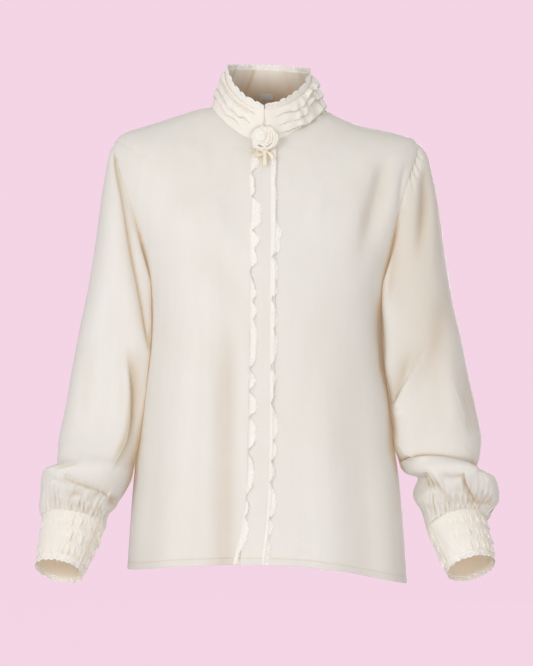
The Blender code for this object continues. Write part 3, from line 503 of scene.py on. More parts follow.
def fabric(name, base, deep, weave=1400.0, weave_bump=0.10, rough=0.5,
           sheen=0.25, glow=0.3, streak=8.0, painted_hollow_shade=(0.97, 0.84, 0.66), near=0.018,
           shade=(0.15, 0.72), through=0.15, lit=0.42, painted_glow_colour=(0.60, 0.49, 0.38),
           fold=(0.74, 0.62, 0.46)):
    """Cloth: uneven tone, fine weave, soft creasing, a little sheen, and painted shade and glow.  Painted
    shade: the colour is multiplied by a warm shade colour where ambient occlusion within near finds the cloth
    hemmed in, and by the colour fold along creases and gaps, weighted by the mesh attribute 'fold'.  Painted
    glow: where that occlusion is strong, a warm emission of strength up to through lights the deep gaps."""
    mat = bpy.data.materials.new(name)
    mat.use_nodes = True
    nt = mat.node_tree
    sh = nt.nodes["Principled BSDF"]
    sh.inputs["Roughness"].default_value = rough
    sh.inputs["Specular IOR Level"].default_value = 0.32
    sh.inputs["Sheen Weight"].default_value = sheen
    sh.inputs["Sheen Roughness"].default_value = 0.45
    sh.inputs["Sheen Tint"].default_value = (1.0, 0.97, 0.92, 1.0)
    sh.inputs["Subsurface Weight"].default_value = glow
    sh.inputs["Subsurface Radius"].default_value = (1.0, 0.85, 0.70)
    sh.inputs["Subsurface Scale"].default_value = 0.0006
    # colour of the painted glow in deep gaps
    sh.inputs["Emission Color"].default_value = (*painted_glow_colour, 1.0)
    co = nt.nodes.new("ShaderNodeTexCoord")

    def noise(scale, detail, stretch=None):
        n = nt.nodes.new("ShaderNodeTexNoise")
        n.inputs["Scale"].default_value = scale
        n.inputs["Detail"].default_value = detail
        if stretch:
            mp = nt.nodes.new("ShaderNodeMapping")
            mp.inputs["Scale"].default_value = stretch
            nt.links.new(co.outputs["Object"], mp.inputs["Vector"])
            nt.links.new(mp.outputs["Vector"], n.inputs["Vector"])
        else:
            nt.links.new(co.outputs["Object"], n.inputs["Vector"])
        return n.outputs["Fac"]

    def mix(kind, a, b, fac):
        m = nt.nodes.new("ShaderNodeMix")
        m.data_type = "RGBA"
        m.blend_type = kind
        if isinstance(fac, float):
            m.inputs["Factor"].default_value = fac
        else:
            nt.links.new(fac, m.inputs["Factor"])
        for k, v in (("A", a), ("B", b)):
            sock = [s for s in m.inputs if s.name == k and s.type == "RGBA"][0]
            if isinstance(v, tuple):
                sock.default_value = (*v, 1.0)
            else:
                nt.links.new(v, sock)
        return [s for s in m.outputs if s.type == "RGBA"][0]

    def remap(v, lo, hi, a, b):
        r = nt.nodes.new("ShaderNodeMapRange")
        for k, x in (("From Min", lo), ("From Max", hi), ("To Min", a), ("To Max", b)):
            r.inputs[k].default_value = x
        nt.links.new(v, r.inputs["Value"])
        return r.outputs["Result"]

    big = remap(noise(5.0, 3.0), 0.35, 0.65, 0.0, 1.0)
    run = remap(noise(streak, 4.0, (9.0, 9.0, 1.0)), 0.38, 0.62, 0.0, 1.0)
    colour = mix("MIX", base, deep, big)
    colour = mix("MULTIPLY", colour, (0.988, 0.984, 0.978), run)
    grain = remap(noise(weave, 2.0), 0.3, 0.7, 0.0, 1.0)
    colour = mix("MULTIPLY", colour, (0.965, 0.96, 0.955), grain)
    # painted shade: darker and warmer where ambient occlusion finds the cloth hemmed in
    ao = nt.nodes.new("ShaderNodeAmbientOcclusion")
    ao.samples = 5
    ao.inputs["Distance"].default_value = near
    colour = mix("MULTIPLY", colour, painted_hollow_shade,
                 remap(ao.outputs["AO"], shade[0], shade[1], 1.0, 0.0))
    # painted shade along creases and gaps, weighted by the mesh attribute fold
    at = nt.nodes.new("ShaderNodeAttribute")
    at.attribute_type = "GEOMETRY"
    at.attribute_name = "fold"
    colour = mix("MULTIPLY", colour, fold, at.outputs["Fac"])
    # painted glow: a warm emission in deep gaps, strongest where the occlusion is strongest
    nt.links.new(remap(ao.outputs["AO"], 0.0, lit, through, 0.0),
                 sh.inputs["Emission Strength"])
    nt.links.new(colour, sh.inputs["Base Color"])
    nt.links.new(remap(noise(60.0, 3.0), 0.3, 0.7, rough - 0.05, rough + 0.07),
                 sh.inputs["Roughness"])
    height = noise(weave, 3.0)
    bump = nt.nodes.new("ShaderNodeBump")
    bump.inputs["Strength"].default_value = weave_bump
    bump.inputs["Distance"].default_value = 0.0004
    nt.links.new(height, bump.inputs["Height"])
    soft = nt.nodes.new("ShaderNodeBump")
    soft.inputs["Strength"].default_value = 0.22
    soft.inputs["Distance"].default_value = 0.0016
    nt.links.new(noise(46.0, 2.0, (1.0, 1.0, 0.45)), soft.inputs["Height"])
    nt.links.new(bump.outputs["Normal"], soft.inputs["Normal"])
    nt.links.new(soft.outputs["Normal"], sh.inputs["Normal"])
    return mat


# Besides tone and finish, each cloth carries painted shade in its hollows and along its folds, and a painted
# warm glow in deep gaps.
SILK = fabric("silk", (0.800, 0.781, 0.752), (0.782, 0.754, 0.715), through=0.15,
              painted_glow_colour=(0.60, 0.50, 0.40))
TRIM = fabric("silk_trim", (0.905, 0.878, 0.838), (0.885, 0.852, 0.805), rough=0.56,
              near=0.005, painted_hollow_shade=(0.97, 0.90, 0.79), glow=0.5, through=0.36, lit=0.55,
              painted_glow_colour=(0.62, 0.54, 0.44))
FRILL = fabric("silk_frill", (0.870, 0.845, 0.808), (0.850, 0.820, 0.775), rough=0.56,
               near=0.005, painted_hollow_shade=(0.97, 0.90, 0.79), glow=0.5, through=0.32, lit=0.55,
               painted_glow_colour=(0.62, 0.54, 0.44))
BAND = fabric("silk_band", (0.905, 0.872, 0.822), (0.885, 0.846, 0.788), rough=0.56,
              near=0.025, painted_hollow_shade=(0.93, 0.86, 0.76), glow=0.4, through=0.06,
              painted_glow_colour=(0.62, 0.52, 0.40), fold=(0.96, 0.92, 0.86))
# inner side of the collar band: the same silk as the band with much stronger painted shade and painted glow
BAND_IN_SHADED = fabric("silk_band_inner_shaded", (0.905, 0.872, 0.822), (0.885, 0.846, 0.788),
                 rough=0.56, near=0.045, painted_hollow_shade=(0.93, 0.82, 0.68), glow=0.4,
                 shade=(0.12, 0.62), through=0.18, lit=0.85,
                 painted_glow_colour=(0.62, 0.46, 0.30), fold=(0.76, 0.52, 0.29))
# the cuff band: strong painted shade over a wide reach and a painted warm glow on its inside
CUFF = fabric("silk_cuff", (0.88, 0.855, 0.818), (0.86, 0.830, 0.785), rough=0.56,
              near=0.08, painted_hollow_shade=(0.97, 0.87, 0.74), glow=0.4, through=0.26, lit=0.80,
              painted_glow_colour=(0.66, 0.50, 0.33))
LACE = fabric("lace", (0.928, 0.909, 0.874), (0.905, 0.884, 0.844), weave=900.0,
              weave_bump=0.4, rough=0.75, sheen=0.15, near=0.003,
              painted_hollow_shade=(0.94, 0.89, 0.80), glow=0.5, through=0.05)
RIBBON = fabric("ribbon", (0.875, 0.815, 0.68), (0.85, 0.785, 0.64), rough=0.42,
                sheen=0.1, glow=0.2, near=0.005, painted_hollow_shade=(0.95, 0.80, 0.55))
LABEL = fabric("label", (0.70, 0.70, 0.68), (0.66, 0.66, 0.645), weave=2200.0,
               weave_bump=0.35, rough=0.7, glow=0.0, near=0.004)


# ------------------------------------------------------------ making meshes
def make(name, verts, faces, mats, node, wall, offset=-1.0, centre=None,
         face_mat=None, merge=False, fold=None, lining=None):
    """A cloth piece: a surface (mm) turned outwards and given its wall.
    fold is the weight of painted shade at each point, the warm darker colour painted along creases and gaps,
    and lining is the material of the inner side where it differs."""
    v = np.asarray(verts, float).reshape(-1, 3)
    f = np.asarray(faces, int)
    if centre is not None:
        c = np.broadcast_to(centre, v.shape) if not callable(centre) else centre(v)
        q = v[f]
        n = np.cross(q[:, 2] - q[:, 0], q[:, 3] - q[:, 1])
        if (n * (q.mean(axis=1) - c[f].mean(axis=1))).sum() < 0:
            f = f[:, ::-1]
    me = bpy.data.meshes.new(name)
    me.from_pydata((v * MM).tolist(), [], f.tolist())
    for m in mats:
        me.materials.append(m)
    if face_mat is not None:
        me.polygons.foreach_set("material_index", np.asarray(face_mat, np.int32))
    # store the painted shade weight as the attribute the materials read
    if fold is not None:
        at = me.attributes.new("fold", "FLOAT", "POINT")
        at.data.foreach_set("value", np.clip(np.asarray(fold, np.float32).ravel(), 0, 1))
    me.shade_smooth()
    me.update()
    ob = bpy.data.objects.new(name, me)
    bpy.context.scene.collection.objects.link(ob)
    if merge:
        import bmesh
        bm = bmesh.new()
        bm.from_mesh(me)
        bmesh.ops.remove_doubles(bm, verts=bm.verts, dist=0.00002)
        bm.to_mesh(me)
        bm.free()
    if wall:
        mod = ob.modifiers.new("wall", "SOLIDIFY")
        mod.thickness = wall * MM
        mod.offset = offset
        if lining is not None:
            me.materials.append(lining)
            mod.material_offset = 1
        even = ob.modifiers.new("even", "WEIGHTED_NORMAL")
        even.mode = "FACE_AREA"
    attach(ob, "root")
    if node:
        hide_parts(node)
    return ob


def grid_faces(rows, cols, closed=False):
    i = np.arange(rows * cols).reshape(rows, cols)
    if closed:
        i = np.c_[i, i[:, :1]]
    return np.stack([i[:-1, :-1], i[:-1, 1:], i[1:, 1:], i[1:, :-1]],
                    axis=-1).reshape(-1, 4)


def lace_cells(cells, bands, seg=3):
    """Strip of lace in cells: (a, b) places, faces and face bands.  a runs
    along in cells, b across; a band is (b0, b1, hole), hole 0 being plain."""
    per = 4 * seg
    k = np.arange(per)
    side, t = k // seg, (k % seg) / seg
    sq = np.zeros((per, 2))
    for s, (p, d) in enumerate((((0, 0), (1, 0)), ((1, 0), (0, 1)),
                                ((1, 1), (-1, 0)), ((0, 1), (0, -1)))):
        m = side == s
        sq[m] = np.array(p) + t[m, None] * np.array(d)
    ang = np.arctan2(sq[:, 1] - 0.5, sq[:, 0] - 0.5)
    pts, faces, band_of, base = [], [], [], 0
    for bi, (b0, b1, hole) in enumerate(bands):
        for c in range(cells):
            if hole > 0:
                size = hole * (1.0, 0.62, 0.92, 0.45, 0.8)[(c + 2 * bi) % 5]
                ring = 0.5 + size * np.c_[np.cos(ang), np.sin(ang)]
                p = np.vstack([sq, ring])
                f = [(j, (j + 1) % per, per + (j + 1) % per, per + j)
                     for j in range(per)]
            else:
                g = np.linspace(0, 1, seg + 1)
                p = np.array([(x, y) for y in (0.0, 1.0) for x in g])
                f = [(j, j + 1, seg + 2 + j, seg + 1 + j) for j in range(seg)]
            q = np.c_[c + p[:, 0], b0 + (b1 - b0) * p[:, 1]]
            pts.append(q)
            faces += [tuple(base + x for x in y) for y in f]
            band_of += [bi] * len(f)
            base += len(q)
    return np.vstack(pts), np.array(faces), np.array(band_of)


# --------------------------------------------------------------------- body
BODY = Table(BODY_ROWS, blur=0.008)


def section(side, front, w):
    zf, zb, zr, zl, xr, xl, yf, ys, yb, n, xc = BODY(w)
    left = np.asarray(side) > 0
    x_edge, z_edge = np.where(left, xl, xr), np.where(left, zl, zr)
    t = np.clip((w - ARM_W0) / (ARM_W1 - ARM_W0), 0, 1)
    swing = np.clip(np.sin(PI * t), 0, 1) ** 0.55
    b = np.where(front, ys - yf, yb - ys)
    z0 = np.where(front, zf, zb)
    swing = swing * np.where(front, ARM_BUMP_FRONT, ARM_BUMP_BACK)
    end = np.arccos(np.clip(swing / b, 0, 1) ** (n / 2))
    a = x_edge / np.sin(end) ** (2 / n)
    return a, b, n, end, z0, z_edge, ys, xc


def body_point(side, front, angle, w):
    a, b, n, end, z0, z1, ys, xc = section(side, front, w)
    sx = np.clip(np.sin(angle), 0, None) ** (2 / n)
    cy = np.clip(np.cos(angle), 0, None) ** (2 / n)
    fwd = np.where(front, -1.0, 1.0)
    x = side * a * sx + np.where(front, xc * np.cos(angle) ** 2, 0.0)
    z = z0 + (z1 - z0) * (np.sin(angle) / np.sin(end)) ** 2
    return vec(x, ys + fwd * b * cy, z)


def body_out(side, front, angle, w):
    """Outward direction of the body in plan, with the slope of its rows."""
    e = 0.004
    da = (body_point(side, front, angle + e, w)
          - body_point(side, front, np.maximum(angle - e, 1e-4), w))
    dw = (body_point(side, front, angle, np.minimum(w + e, 1.0))
          - body_point(side, front, angle, w - e))
    n = unit(np.cross(da, dw))
    return n * np.sign(n[..., 1:2] * np.where(front, -1.0, 1.0)[..., None] + 1e-9)


def front_sheet(side, angle, w):
    """Outer face of the fronts with their creases."""
    front = np.ones(np.shape(w), bool)
    p = body_point(side, front, angle, w)
    n = body_out(side, front, angle, w)
    px, py = seen(p)
    n = unit(n)
    end = section(side, front, w)[3]
    edge = smooth((1 - angle / end) / 0.07)
    d = crease_depth(px, py, FRONT_CREASES) * edge
    return p, n, d


def body_w_rows():
    hem = np.array([0.0, .0015, .003, .006, .009, .012, .0145, .016, .0175, .019, .021, .024])
    up = np.linspace(0.03, ARM_W0, 120)[:-1]
    arm = ARM_W0 + (ARM_W1 - ARM_W0) * 0.5 * (1 - np.cos(PI * np.arange(62) / 61))
    top = np.linspace(ARM_W1, 1.0, 36)[1:]
    return np.r_[hem, up, arm, top]


def hem_relief(p):
    """Turned hem: a slightly raised band with a stitched groove above it."""
    up = np.linalg.norm(np.diff(p, axis=0), axis=-1)
    h = np.vstack([np.zeros(p.shape[1]), np.cumsum(up, axis=0)])
    band = 0.55 * (1 - smooth((h - HEM + 0.6) / 1.2))
    groove = -0.35 * np.exp(-((h - HEM + 1.6) / 0.9) ** 2)
    return band + groove


def hem_tint(p):
    """Weight of the fold colour: a little over the doubled cloth of the turned hem, more along a line near its
    upper edge.
    """
    up = np.linalg.norm(np.diff(p, axis=0), axis=-1)
    h = np.vstack([np.zeros(p.shape[1]), np.cumsum(up, axis=0)])
    return (0.06 * (1 - smooth((h - HEM + 0.6) / 1.2))
            + 0.28 * np.exp(-((h - HEM + 0.2) / 0.9) ** 2))


def seam_dip(f, w):
    """Both panels dip at the seam that joins them."""
    out = ~((w > ARM_W0) & (w < ARM_W1))
    return np.where(out, -0.8 * np.exp(-((1 - f) / 0.012) ** 2), 0.0)


def front_panel(name, side):
    w = body_w_rows()[:, None]
    f = np.linspace(0, 1, 76) ** 0.97
    f = f[None, :] * np.ones_like(w)
    w = w * np.ones_like(f)
    s = np.full(w.shape, side)
    ang = section(s, np.ones(w.shape, bool), w)[3] * f
    p, n, d = front_sheet(s, ang, w)
    px, py = seen(p)
    # painted shade: warmer and darker along the listed lines and in the crease troughs; the hem is tinted too
    fold = crease_depth(px, py, FRONT_PAINTED_SHADE) + 0.010 * np.clip(-d, 0, 8.0) + hem_tint(p)
    d = d + hem_relief(p) + seam_dip(f, w)
    p = p + n * d[..., None]
    make(name, p, grid_faces(*w.shape), [SILK], name, WALL, fold=fold,
         centre=lambda v: v * np.array([0.3, 0, 1]) + np.array([0, 40, 0]))


def back_panel():
    w = body_w_rows()[:, None]
    g = np.linspace(-1, 1, 117)[None, :] * np.ones_like(w)
    w = w * np.ones_like(g)
    side = np.where(g < 0, -1.0, 1.0)
    f = np.abs(g)
    back = np.zeros(w.shape, bool)
    ang = section(side, back, w)[3] * f
    p = body_point(side, back, ang, w)
    n = normals(p)
    n *= np.sign(n[..., 1:2].mean())
    d = crease_depth(p[..., 0], p[..., 2], BACK_CREASES) * smooth((1 - f) / 0.1)
    # painted shade in the crease troughs; the hem is tinted too
    fold = 0.045 * np.clip(-d, 0, 8.0) + hem_tint(p)
    d += hem_relief(p) + seam_dip(f, w)
    p = p + n * d[..., None]
    make("back", p, grid_faces(*w.shape), [SILK], "back", WALL, fold=fold,
         centre=lambda v: v * np.array([0.3, 0, 1]) + np.array([0, -40, 0]))


# ------------------------------------------------------------------ sleeves
def cuff_frame(cuff):
    side = cuff["side"]
    top = np.array([side * cuff["top"][0], cuff["top"][1], cuff["top"][2]], float)
    rim = np.array([side * cuff["rim"][0], cuff["rim"][1], cuff["rim"][2]], float)
    axis = unit(rim - top)
    across = np.array([side, 0, 0], float)
    across = unit(across - axis * (across @ axis))
    ahead = np.array([0, -1, 0], float)
    ahead = ahead - axis * (ahead @ axis)
    ahead = unit(ahead - across * (ahead @ across))
    return top, rim, axis, across, ahead


def cuff_point(cuff, phi, t, off=0.0):
    top, rim, _, across, ahead = cuff_frame(cuff)
    t = np.asarray(t, float)
    rx = cuff["r_top"][0] + (cuff["r_rim"][0] - cuff["r_top"][0]) * t + off
    ry = cuff["r_top"][1] + (cuff["r_rim"][1] - cuff["r_top"][1]) * t + off
    return (top + (rim - top) * t[..., None]
            + across * (rx * np.cos(phi))[..., None]
            + ahead * (ry * np.sin(phi))[..., None])


def cuff_lift(cuff, phi):
    """How far the outer layer stands off where the cuff overlaps itself."""
    a = (np.degrees(phi) - (cuff["closure"] - CUFF_OVERLAP / 2)) % 360.0
    return 1.45 * np.where(a < CUFF_OVERLAP, 1.0, smooth((a - 320.0) / 34.0))


def armhole(side, phi):
    w = ARM_W0 + (ARM_W1 - ARM_W0) * 0.5 * (1 + np.cos(phi))
    front = np.sin(phi) >= 0
    end = section(side, front, w)[3]
    return body_point(side, front, end, w)


def body_reach(side, y, z):
    lo = np.zeros(z.shape)
    hi = np.full(z.shape, ARM_W0)
    t = np.ones(z.shape, bool)
    for _ in range(20):
        mid = 0.5 * (lo + hi)
        up = section(side, t, mid)[5] < z
        lo, hi = np.where(up, mid, lo), np.where(up, hi, mid)
    ys = section(side, t, lo)[6]
    a, b, n, *_ = section(side, y < ys, lo)
    r = np.abs(y - ys) / b
    return np.where(r < 1, a * (1 - np.clip(r, 0, 1) ** n) ** (1 / n), 0.0)


def sleeve_base(cuff, table, phi, s, hug):
    side = float(cuff["side"])
    tuck = 20.0

    def raw(s):
        xo, zo, xi, zi, yf, yb, pitch, n = table(s)
        square, close = hug(s)
        corner = np.clip(-np.sin(2 * phi), 0, 1) * (np.sin(phi) > 0)
        m = n + square * corner
        c = spow(np.cos(phi), 2 / m)
        q = spow(np.sin(phi), 2 / m)
        x = 0.5 * (xo + xi) + 0.5 * (xo - xi) * c
        x = x - tuck * np.maximum(-q, 0) * 0.5 * (1 - c) * smooth(s / 0.25) * (
            1 - smooth((s - 0.62) / 0.2))
        # the front of the inner side leans on the body
        x = x - close * np.maximum(q, 0) ** 0.6 * 0.5 * (1 - c)
        dy = -0.5 * (yb - yf) * q
        z = 0.5 * (zo + zi) + 0.5 * (zo - zi) * c - pitch * dy
        return vec(side * x, 0.5 * (yf + yb) + dy, z)

    zero, one = np.zeros(np.shape(s)), np.ones(np.shape(s))
    p = raw(s)
    p = p + (armhole(side, phi) - raw(zero)) * (1 - smooth(s / 0.22))[..., None]
    ragged = 0.022 * noise1(phi / (2 * PI) * 37, 7, 2)
    end = cuff_point(cuff, phi, zero + 0.03 + ragged, 0.85 + cuff_lift(cuff, phi))
    p = p + (end - raw(one)) * smooth((s - 0.88) / 0.12)[..., None]
    reach = np.where(p[..., 2] < -243, body_reach(side, p[..., 1], p[..., 2]), 0.0)
    clear = 0.5 + 0.3 * smooth((s - 0.01) / 0.2)
    far = reach + clear
    x = np.abs(p[..., 0])
    soft = 1.6 * smooth(s / 0.3)
    pushed = 0.5 * (x + far + np.sqrt((x - far) ** 2 + soft ** 2))
    p[..., 0] = side * np.where(reach > 0, pushed, x)
    return p, np.where(reach > 0, np.abs(p[..., 0]) - far, 50.0)


def spread(weight, n, lo=0.0, hi=1.0):
    """n places from lo to hi, as dense as weight says."""
    x = np.linspace(lo, hi, 2000)
    c = np.cumsum(weight(x))
    c = (c - c[0]) / (c[-1] - c[0])
    return np.interp(np.linspace(0, 1, n), c, x)


def sleeve(name, cuff, rows, front_creases, laps, gathers, hug, seed, proud):
    table = Table(rows, blur=0.006)
    side = float(cuff["side"])
    cols, n_rows = 196, 168
    phi = spread(lambda a: 1.0 + 1.1 * smooth((np.sin(a) + 0.15) / 0.5), cols + 1,
                 0.0, 2 * PI)[:-1]
    s = spread(lambda t: 1.0 + 1.3 * smooth((t - 0.66) / 0.08)
               + 0.8 * np.exp(-(t / 0.10) ** 2), n_rows)
    phi2, s2 = np.meshgrid(phi, s)
    base, room = sleeve_base(cuff, table, phi2, s2, hug)
    n = normals(base, closed=True)
    mid = base.mean(axis=1, keepdims=True)
    n *= np.sign((n * (base - mid)).sum())
    px, py = seen(base)
    facing = smooth((-n[..., 1] + 0.12) / 0.22)
    d = crease_depth(px, py, front_creases) * facing
    high, right, down = lap_over(px, py, laps, facing > 0.02)
    d += high * facing
    # gather lines run into the cuff seam, aslant on the wearer's left
    slant = 8.0 if name == "sleeve_left" else 1.0
    for x, y0, y1, depth in gathers:
        d += facing * crease_depth(px, py, [
            (1.0, 1.0, -1.7 * depth, 1.6, .45, .05,
             [(x - slant - 2.2 * math.sin(1.7 * x), y0 - 3 * math.sin(2.3 * x)),
              (x - 0.4 * slant, 0.5 * (y0 + y1)), (x - side * 0.5, y1)])])
    # painted shade: warmer and darker along the listed lines, in the crease troughs and along each gather line
    fold = crease_depth(px, py, SLEEVE_PAINTED_SHADE[name]) * facing
    fold += 0.05 * np.clip(-d, 0, 5.0) * facing
    fold += facing * crease_depth(px, py, [
        (1.3, 1.3, .16 * depth, 1.6, .45, .05,
         [(x - slant - 2.2 * math.sin(1.7 * x), y0 - 3 * math.sin(2.3 * x)),
          (x - 0.4 * slant, 0.5 * (y0 + y1)), (x - side * 0.5, y1)]) for x, y0, y1, depth in gathers])
    back = smooth((n[..., 1] + 0.05) / 0.25)
    far = crease_depth(side * base[..., 0], base[..., 2], SLEEVE_BACK_CREASES) * back
    d += far
    # painted shade in the troughs of the back creases
    fold += 0.07 * np.clip(-far, 0, 6.0)
    # gathers all round the cuff end and along the cap
    k = phi2 / (2 * PI)
    foot = smooth((s2 - 0.93) / 0.05)
    pleat = noise1(k * 29, seed) + 0.5 * noise1(k * 47, seed + 1)
    d += 1.0 * pleat * foot * (1 - 0.6 * facing)
    cap = np.exp(-(s2 / 0.05) ** 2) * smooth((np.cos(phi2) - 0.25) / 0.4)
    d += 0.9 * noise1(k * 40, seed + 2) * cap * (1 - 0.6 * facing)
    # the cap stands a little proud of the seam
    d += proud * smooth(s2 / 0.02) * np.exp(-(s2 / 0.10) ** 2) * smooth(
        (np.cos(phi2) + 0.2) / 0.8)
    for key, way in (("inner", -1.0), ("outer", 1.0)):
        flank = smooth((way * side * n[..., 0] - 0.25) / 0.6)
        for y, half, mm in SLEEVE_SIDES[name][key]:
            d += mm * flank * np.exp(-((py - y) / half) ** 2)
    # it doesn't press into the body
    d = np.minimum(d, np.maximum(room - 0.2, 0.15))
    # the end lies flat on the cuff seam
    d *= 1 - 0.8 * smooth((s2 - 0.975) / 0.025)
    p = base + n * d[..., None]
    p = p + vec(right, 0.0 * right, -down) * facing[..., None]
    # tucked under the body's edge
    along = unit(p[4:5] - p[:1])
    inner = p[:1] - n[:1] * 0.30 - along * 0.8
    tuck = p[:1] - n[:1] * 1.1 - along * 3.0
    p = np.concatenate([tuck, inner, p], axis=0)
    fold = np.concatenate([fold[:1], fold[:1], fold], axis=0)
    cen = p.mean(axis=1, keepdims=True) * np.ones_like(p)
    make(name, p, grid_faces(p.shape[0], cols, closed=True), [SILK], name,
         WALL, centre=cen.reshape(-1, 3), fold=fold)


# -------------------------------------------------------------------- cuffs
def wrap(cuff, u):
    start = math.radians(cuff["closure"] - CUFF_OVERLAP / 2)
    turn = math.radians(360.0 + CUFF_OVERLAP)
    ramp = smooth((u * turn - math.radians(320.0)) / math.radians(34.0))
    return start + u * turn, 1.45 * ramp


def cuff_axis(cuff, v):
    """Nearest points of the cuff's axis."""
    top, rim, axis, _, _ = cuff_frame(cuff)
    t = (v - top) @ axis
    return top + axis * t[:, None]


# tiers of a cuff, along it (0 top, 1 rim)
CUFF_TIERS = [(-0.012, 0.33), (0.27, 0.62), (0.55, 0.93)]
# where the tiers end on the front, and how strongly they wave round it:
# degrees (0 outer side, 90 front, 180 inner side)
CUFF_RUFFLE = {"right": dict(end=149.0, wave=[(0, .6), (28, .25), (84, .20), (100, 1.1), (180, 1.1),
                                              (270, .9), (360, .45)]),
               "left": dict(end=119.0, wave=[(0, 1.0), (60, .8), (100, .5), (118, .35), (180, .9),
                                             (270, .9), (360, 1.0)])}


def cuff_pieces(name, cuff, seed):
    top, rim, axis, _, _ = cuff_frame(cuff)
    length = float(np.linalg.norm(rim - top))
    # band: the flat flap beside the ruffles' end shows its soft surface
    u, t = np.meshgrid(np.linspace(0, 1, 160), np.linspace(0, 1, 30))
    phi, lift = wrap(cuff, u)
    pucker = 0.45 * noise1(u * 40, seed) * np.exp(-(t / 0.16) ** 2)
    soft = (0.7 * noise1(u * 7, seed + 3) + 0.35 * noise1(u * 15 + t * 1.3, seed + 4)) * (
        0.2 + 0.8 * smooth(t / 0.2))
    edge = -0.6 * smooth((0.05 - t) / 0.05)
    p = cuff_point(cuff, phi, t, lift + pucker + soft + edge)
    make("cuff_" + name, p, grid_faces(*t.shape), [CUFF], "cuff_" + name,
         0.9, centre=lambda v: cuff_axis(cuff, v))

    # lace at the rim: rounded lobes with eyelets
    cells, wide = 76, 9.6
    ab, faces, _ = lace_cells(cells, [(0.0, .20, 0), (.20, .50, .20), (.50, .80, .22),
                                      (.80, 1.0, 0)], seg=4)
    a, b = ab[:, 0] / cells, ab[:, 1]
    lobe = np.abs(np.sin(PI * (ab[:, 0] / 2.6 + 0.3 * noise1(a * 5, seed)))) ** 0.7
    picot = np.abs(np.sin(PI * ab[:, 0] * 1.0)) ** 0.7
    b = b * (1 - 0.25 * (1 - lobe) - 0.05 * (1 - picot) * smooth((b - 0.6) / 0.4))
    phi, lift = wrap(cuff, a)
    out = noise1(a * 11, seed + 5)
    p = cuff_point(cuff, phi, 0.955 + (wide * b) / length,
                   lift + 0.5 + b * (0.9 + 1.1 * out) + 0.7 * noise1(a * 7, seed + 3))
    make("cuff_%s_lace" % name, p, faces, [LACE], "cuff_%s_lace" % name,
         FINE, centre=lambda v: cuff_axis(cuff, v), merge=True)

    # three gathered tiers: puffed, their edges waving in and out
    spec = CUFF_RUFFLE[name]
    turn = 360.0 + CUFF_OVERLAP
    start = cuff["closure"] - CUFF_OVERLAP / 2
    u0 = (CUFF_OVERLAP + 3.0) / turn
    u1 = (spec["end"] + 360.0 - start) / turn
    wave_at = np.array(spec["wave"])
    for k, (t0, t1) in enumerate(CUFF_TIERS):
        cols, rows = 380, 15
        f, v = np.meshgrid(np.linspace(0, 1, cols), np.linspace(0, 1, rows))
        u = u0 + (u1 - u0) * f
        phi, lift = wrap(cuff, u)
        strong = np.interp(np.degrees(phi) % 360, wave_at[:, 0], wave_at[:, 1])
        sd = seed + 10 * (k + 1)
        ends = smooth(f / 0.015) * smooth((1 - f) / 0.02)
        wob = f + 0.010 * noise1(f * 9, sd + 5)
        wave = noise1(wob * 31, sd + 1, 1) + 0.55 * noise1(wob * 19, sd + 2, 1)
        lobes = smooth((wave + 0.15) / 1.25)
        uneven = np.clip(0.9 + 0.8 * noise1(f * 8, sd + 3, 3), 0.25, 1.8)
        fine = noise1(f * 60, sd, 2) * np.exp(-(v / 0.30) ** 2) * 0.35
        crinkle = 0.22 * noise1(f * 58 + v * 2.6, sd + 6, 2) + 0.42 * noise1(
            f * 34 - 2.2 * v, sd + 7, 2)
        puff = 0.9 * np.sin(PI * np.clip(v * 0.9, 0, 1)) * (0.5 + 0.5 * strong)
        bulge = v ** 2.5 * (1 - 0.40 * smooth((v - 0.84) / 0.16))
        swing = 3.8 * lobes * uneven * strong * bulge
        # between its lobes the edge lies down on the next tier
        off = lift + 0.45 + puff - 0.40 * smooth((v - 0.6) / 0.4)
        off = off + ((fine + crinkle * smooth(v / 0.2)) * (0.3 + 0.7 * strong)
                     + swing) * ends
        off = np.maximum(off, lift + 0.05)
        # free edge: uneven, its crests hang lower, with a fine scallop
        drop = 0.030 * noise1(f * 17, sd + 4) + 0.07 * (lobes - 0.5) * strong * uneven
        scallop = -0.010 * (1 - np.abs(np.sin(PI * f * 72)) ** 0.8)
        slip = (0.05 * noise1(wob * 31 + 0.25, sd + 1, 1) * strong) / (2 * PI)
        t = t0 + (t1 + drop + scallop - t0) * v
        p = cuff_point(cuff, phi + slip * v * 2 * PI * 0.5, t, off)
        make("cuff_%s_ruffle_%d" % (name, k + 1), p, grid_faces(rows, cols), [FRILL],
             "cuff_%s_ruffle_%d" % (name, k + 1), FINE,
             centre=lambda v: cuff_axis(cuff, v))


# ------------------------------------------------------------------- collar
def collar_point(theta, v):
    th = (theta + PI) % (2 * PI) - PI
    side = np.where(th >= 0, 1.0, -1.0)
    t = np.abs(th)
    front = t <= PI / 2
    base = body_point(side, front, np.where(front, t, PI - t), np.ones(t.shape))
    half = np.where(side > 0, COLLAR_RIM_L, COLLAR_RIM_R)
    y = (0.5 * (COLLAR_RIM_FRONT + COLLAR_RIM_BACK)
         + 0.5 * (COLLAR_RIM_FRONT - COLLAR_RIM_BACK) * np.cos(t))
    z = np.where(front, -8.0 + 60.0 * (np.clip(t, 0, PI / 2) / (PI / 2)) ** 1.45,
                 52.0 + 10.0 * np.clip(np.sin(t - PI / 2), 0, 1) ** 1.3)
    z = z - 0.045 * side * half * np.sin(t)
    x = side * half * np.sin(t) - 2.6 * np.cos(t) ** 2 * (t < PI / 2)
    rim = vec(x, y, z)
    return base + (rim - base) * np.asarray(v)[..., None]


def collar_high(theta):
    o = np.zeros(np.shape(theta))
    return np.linalg.norm(collar_point(theta, o + 1) - collar_point(theta, o), axis=-1)


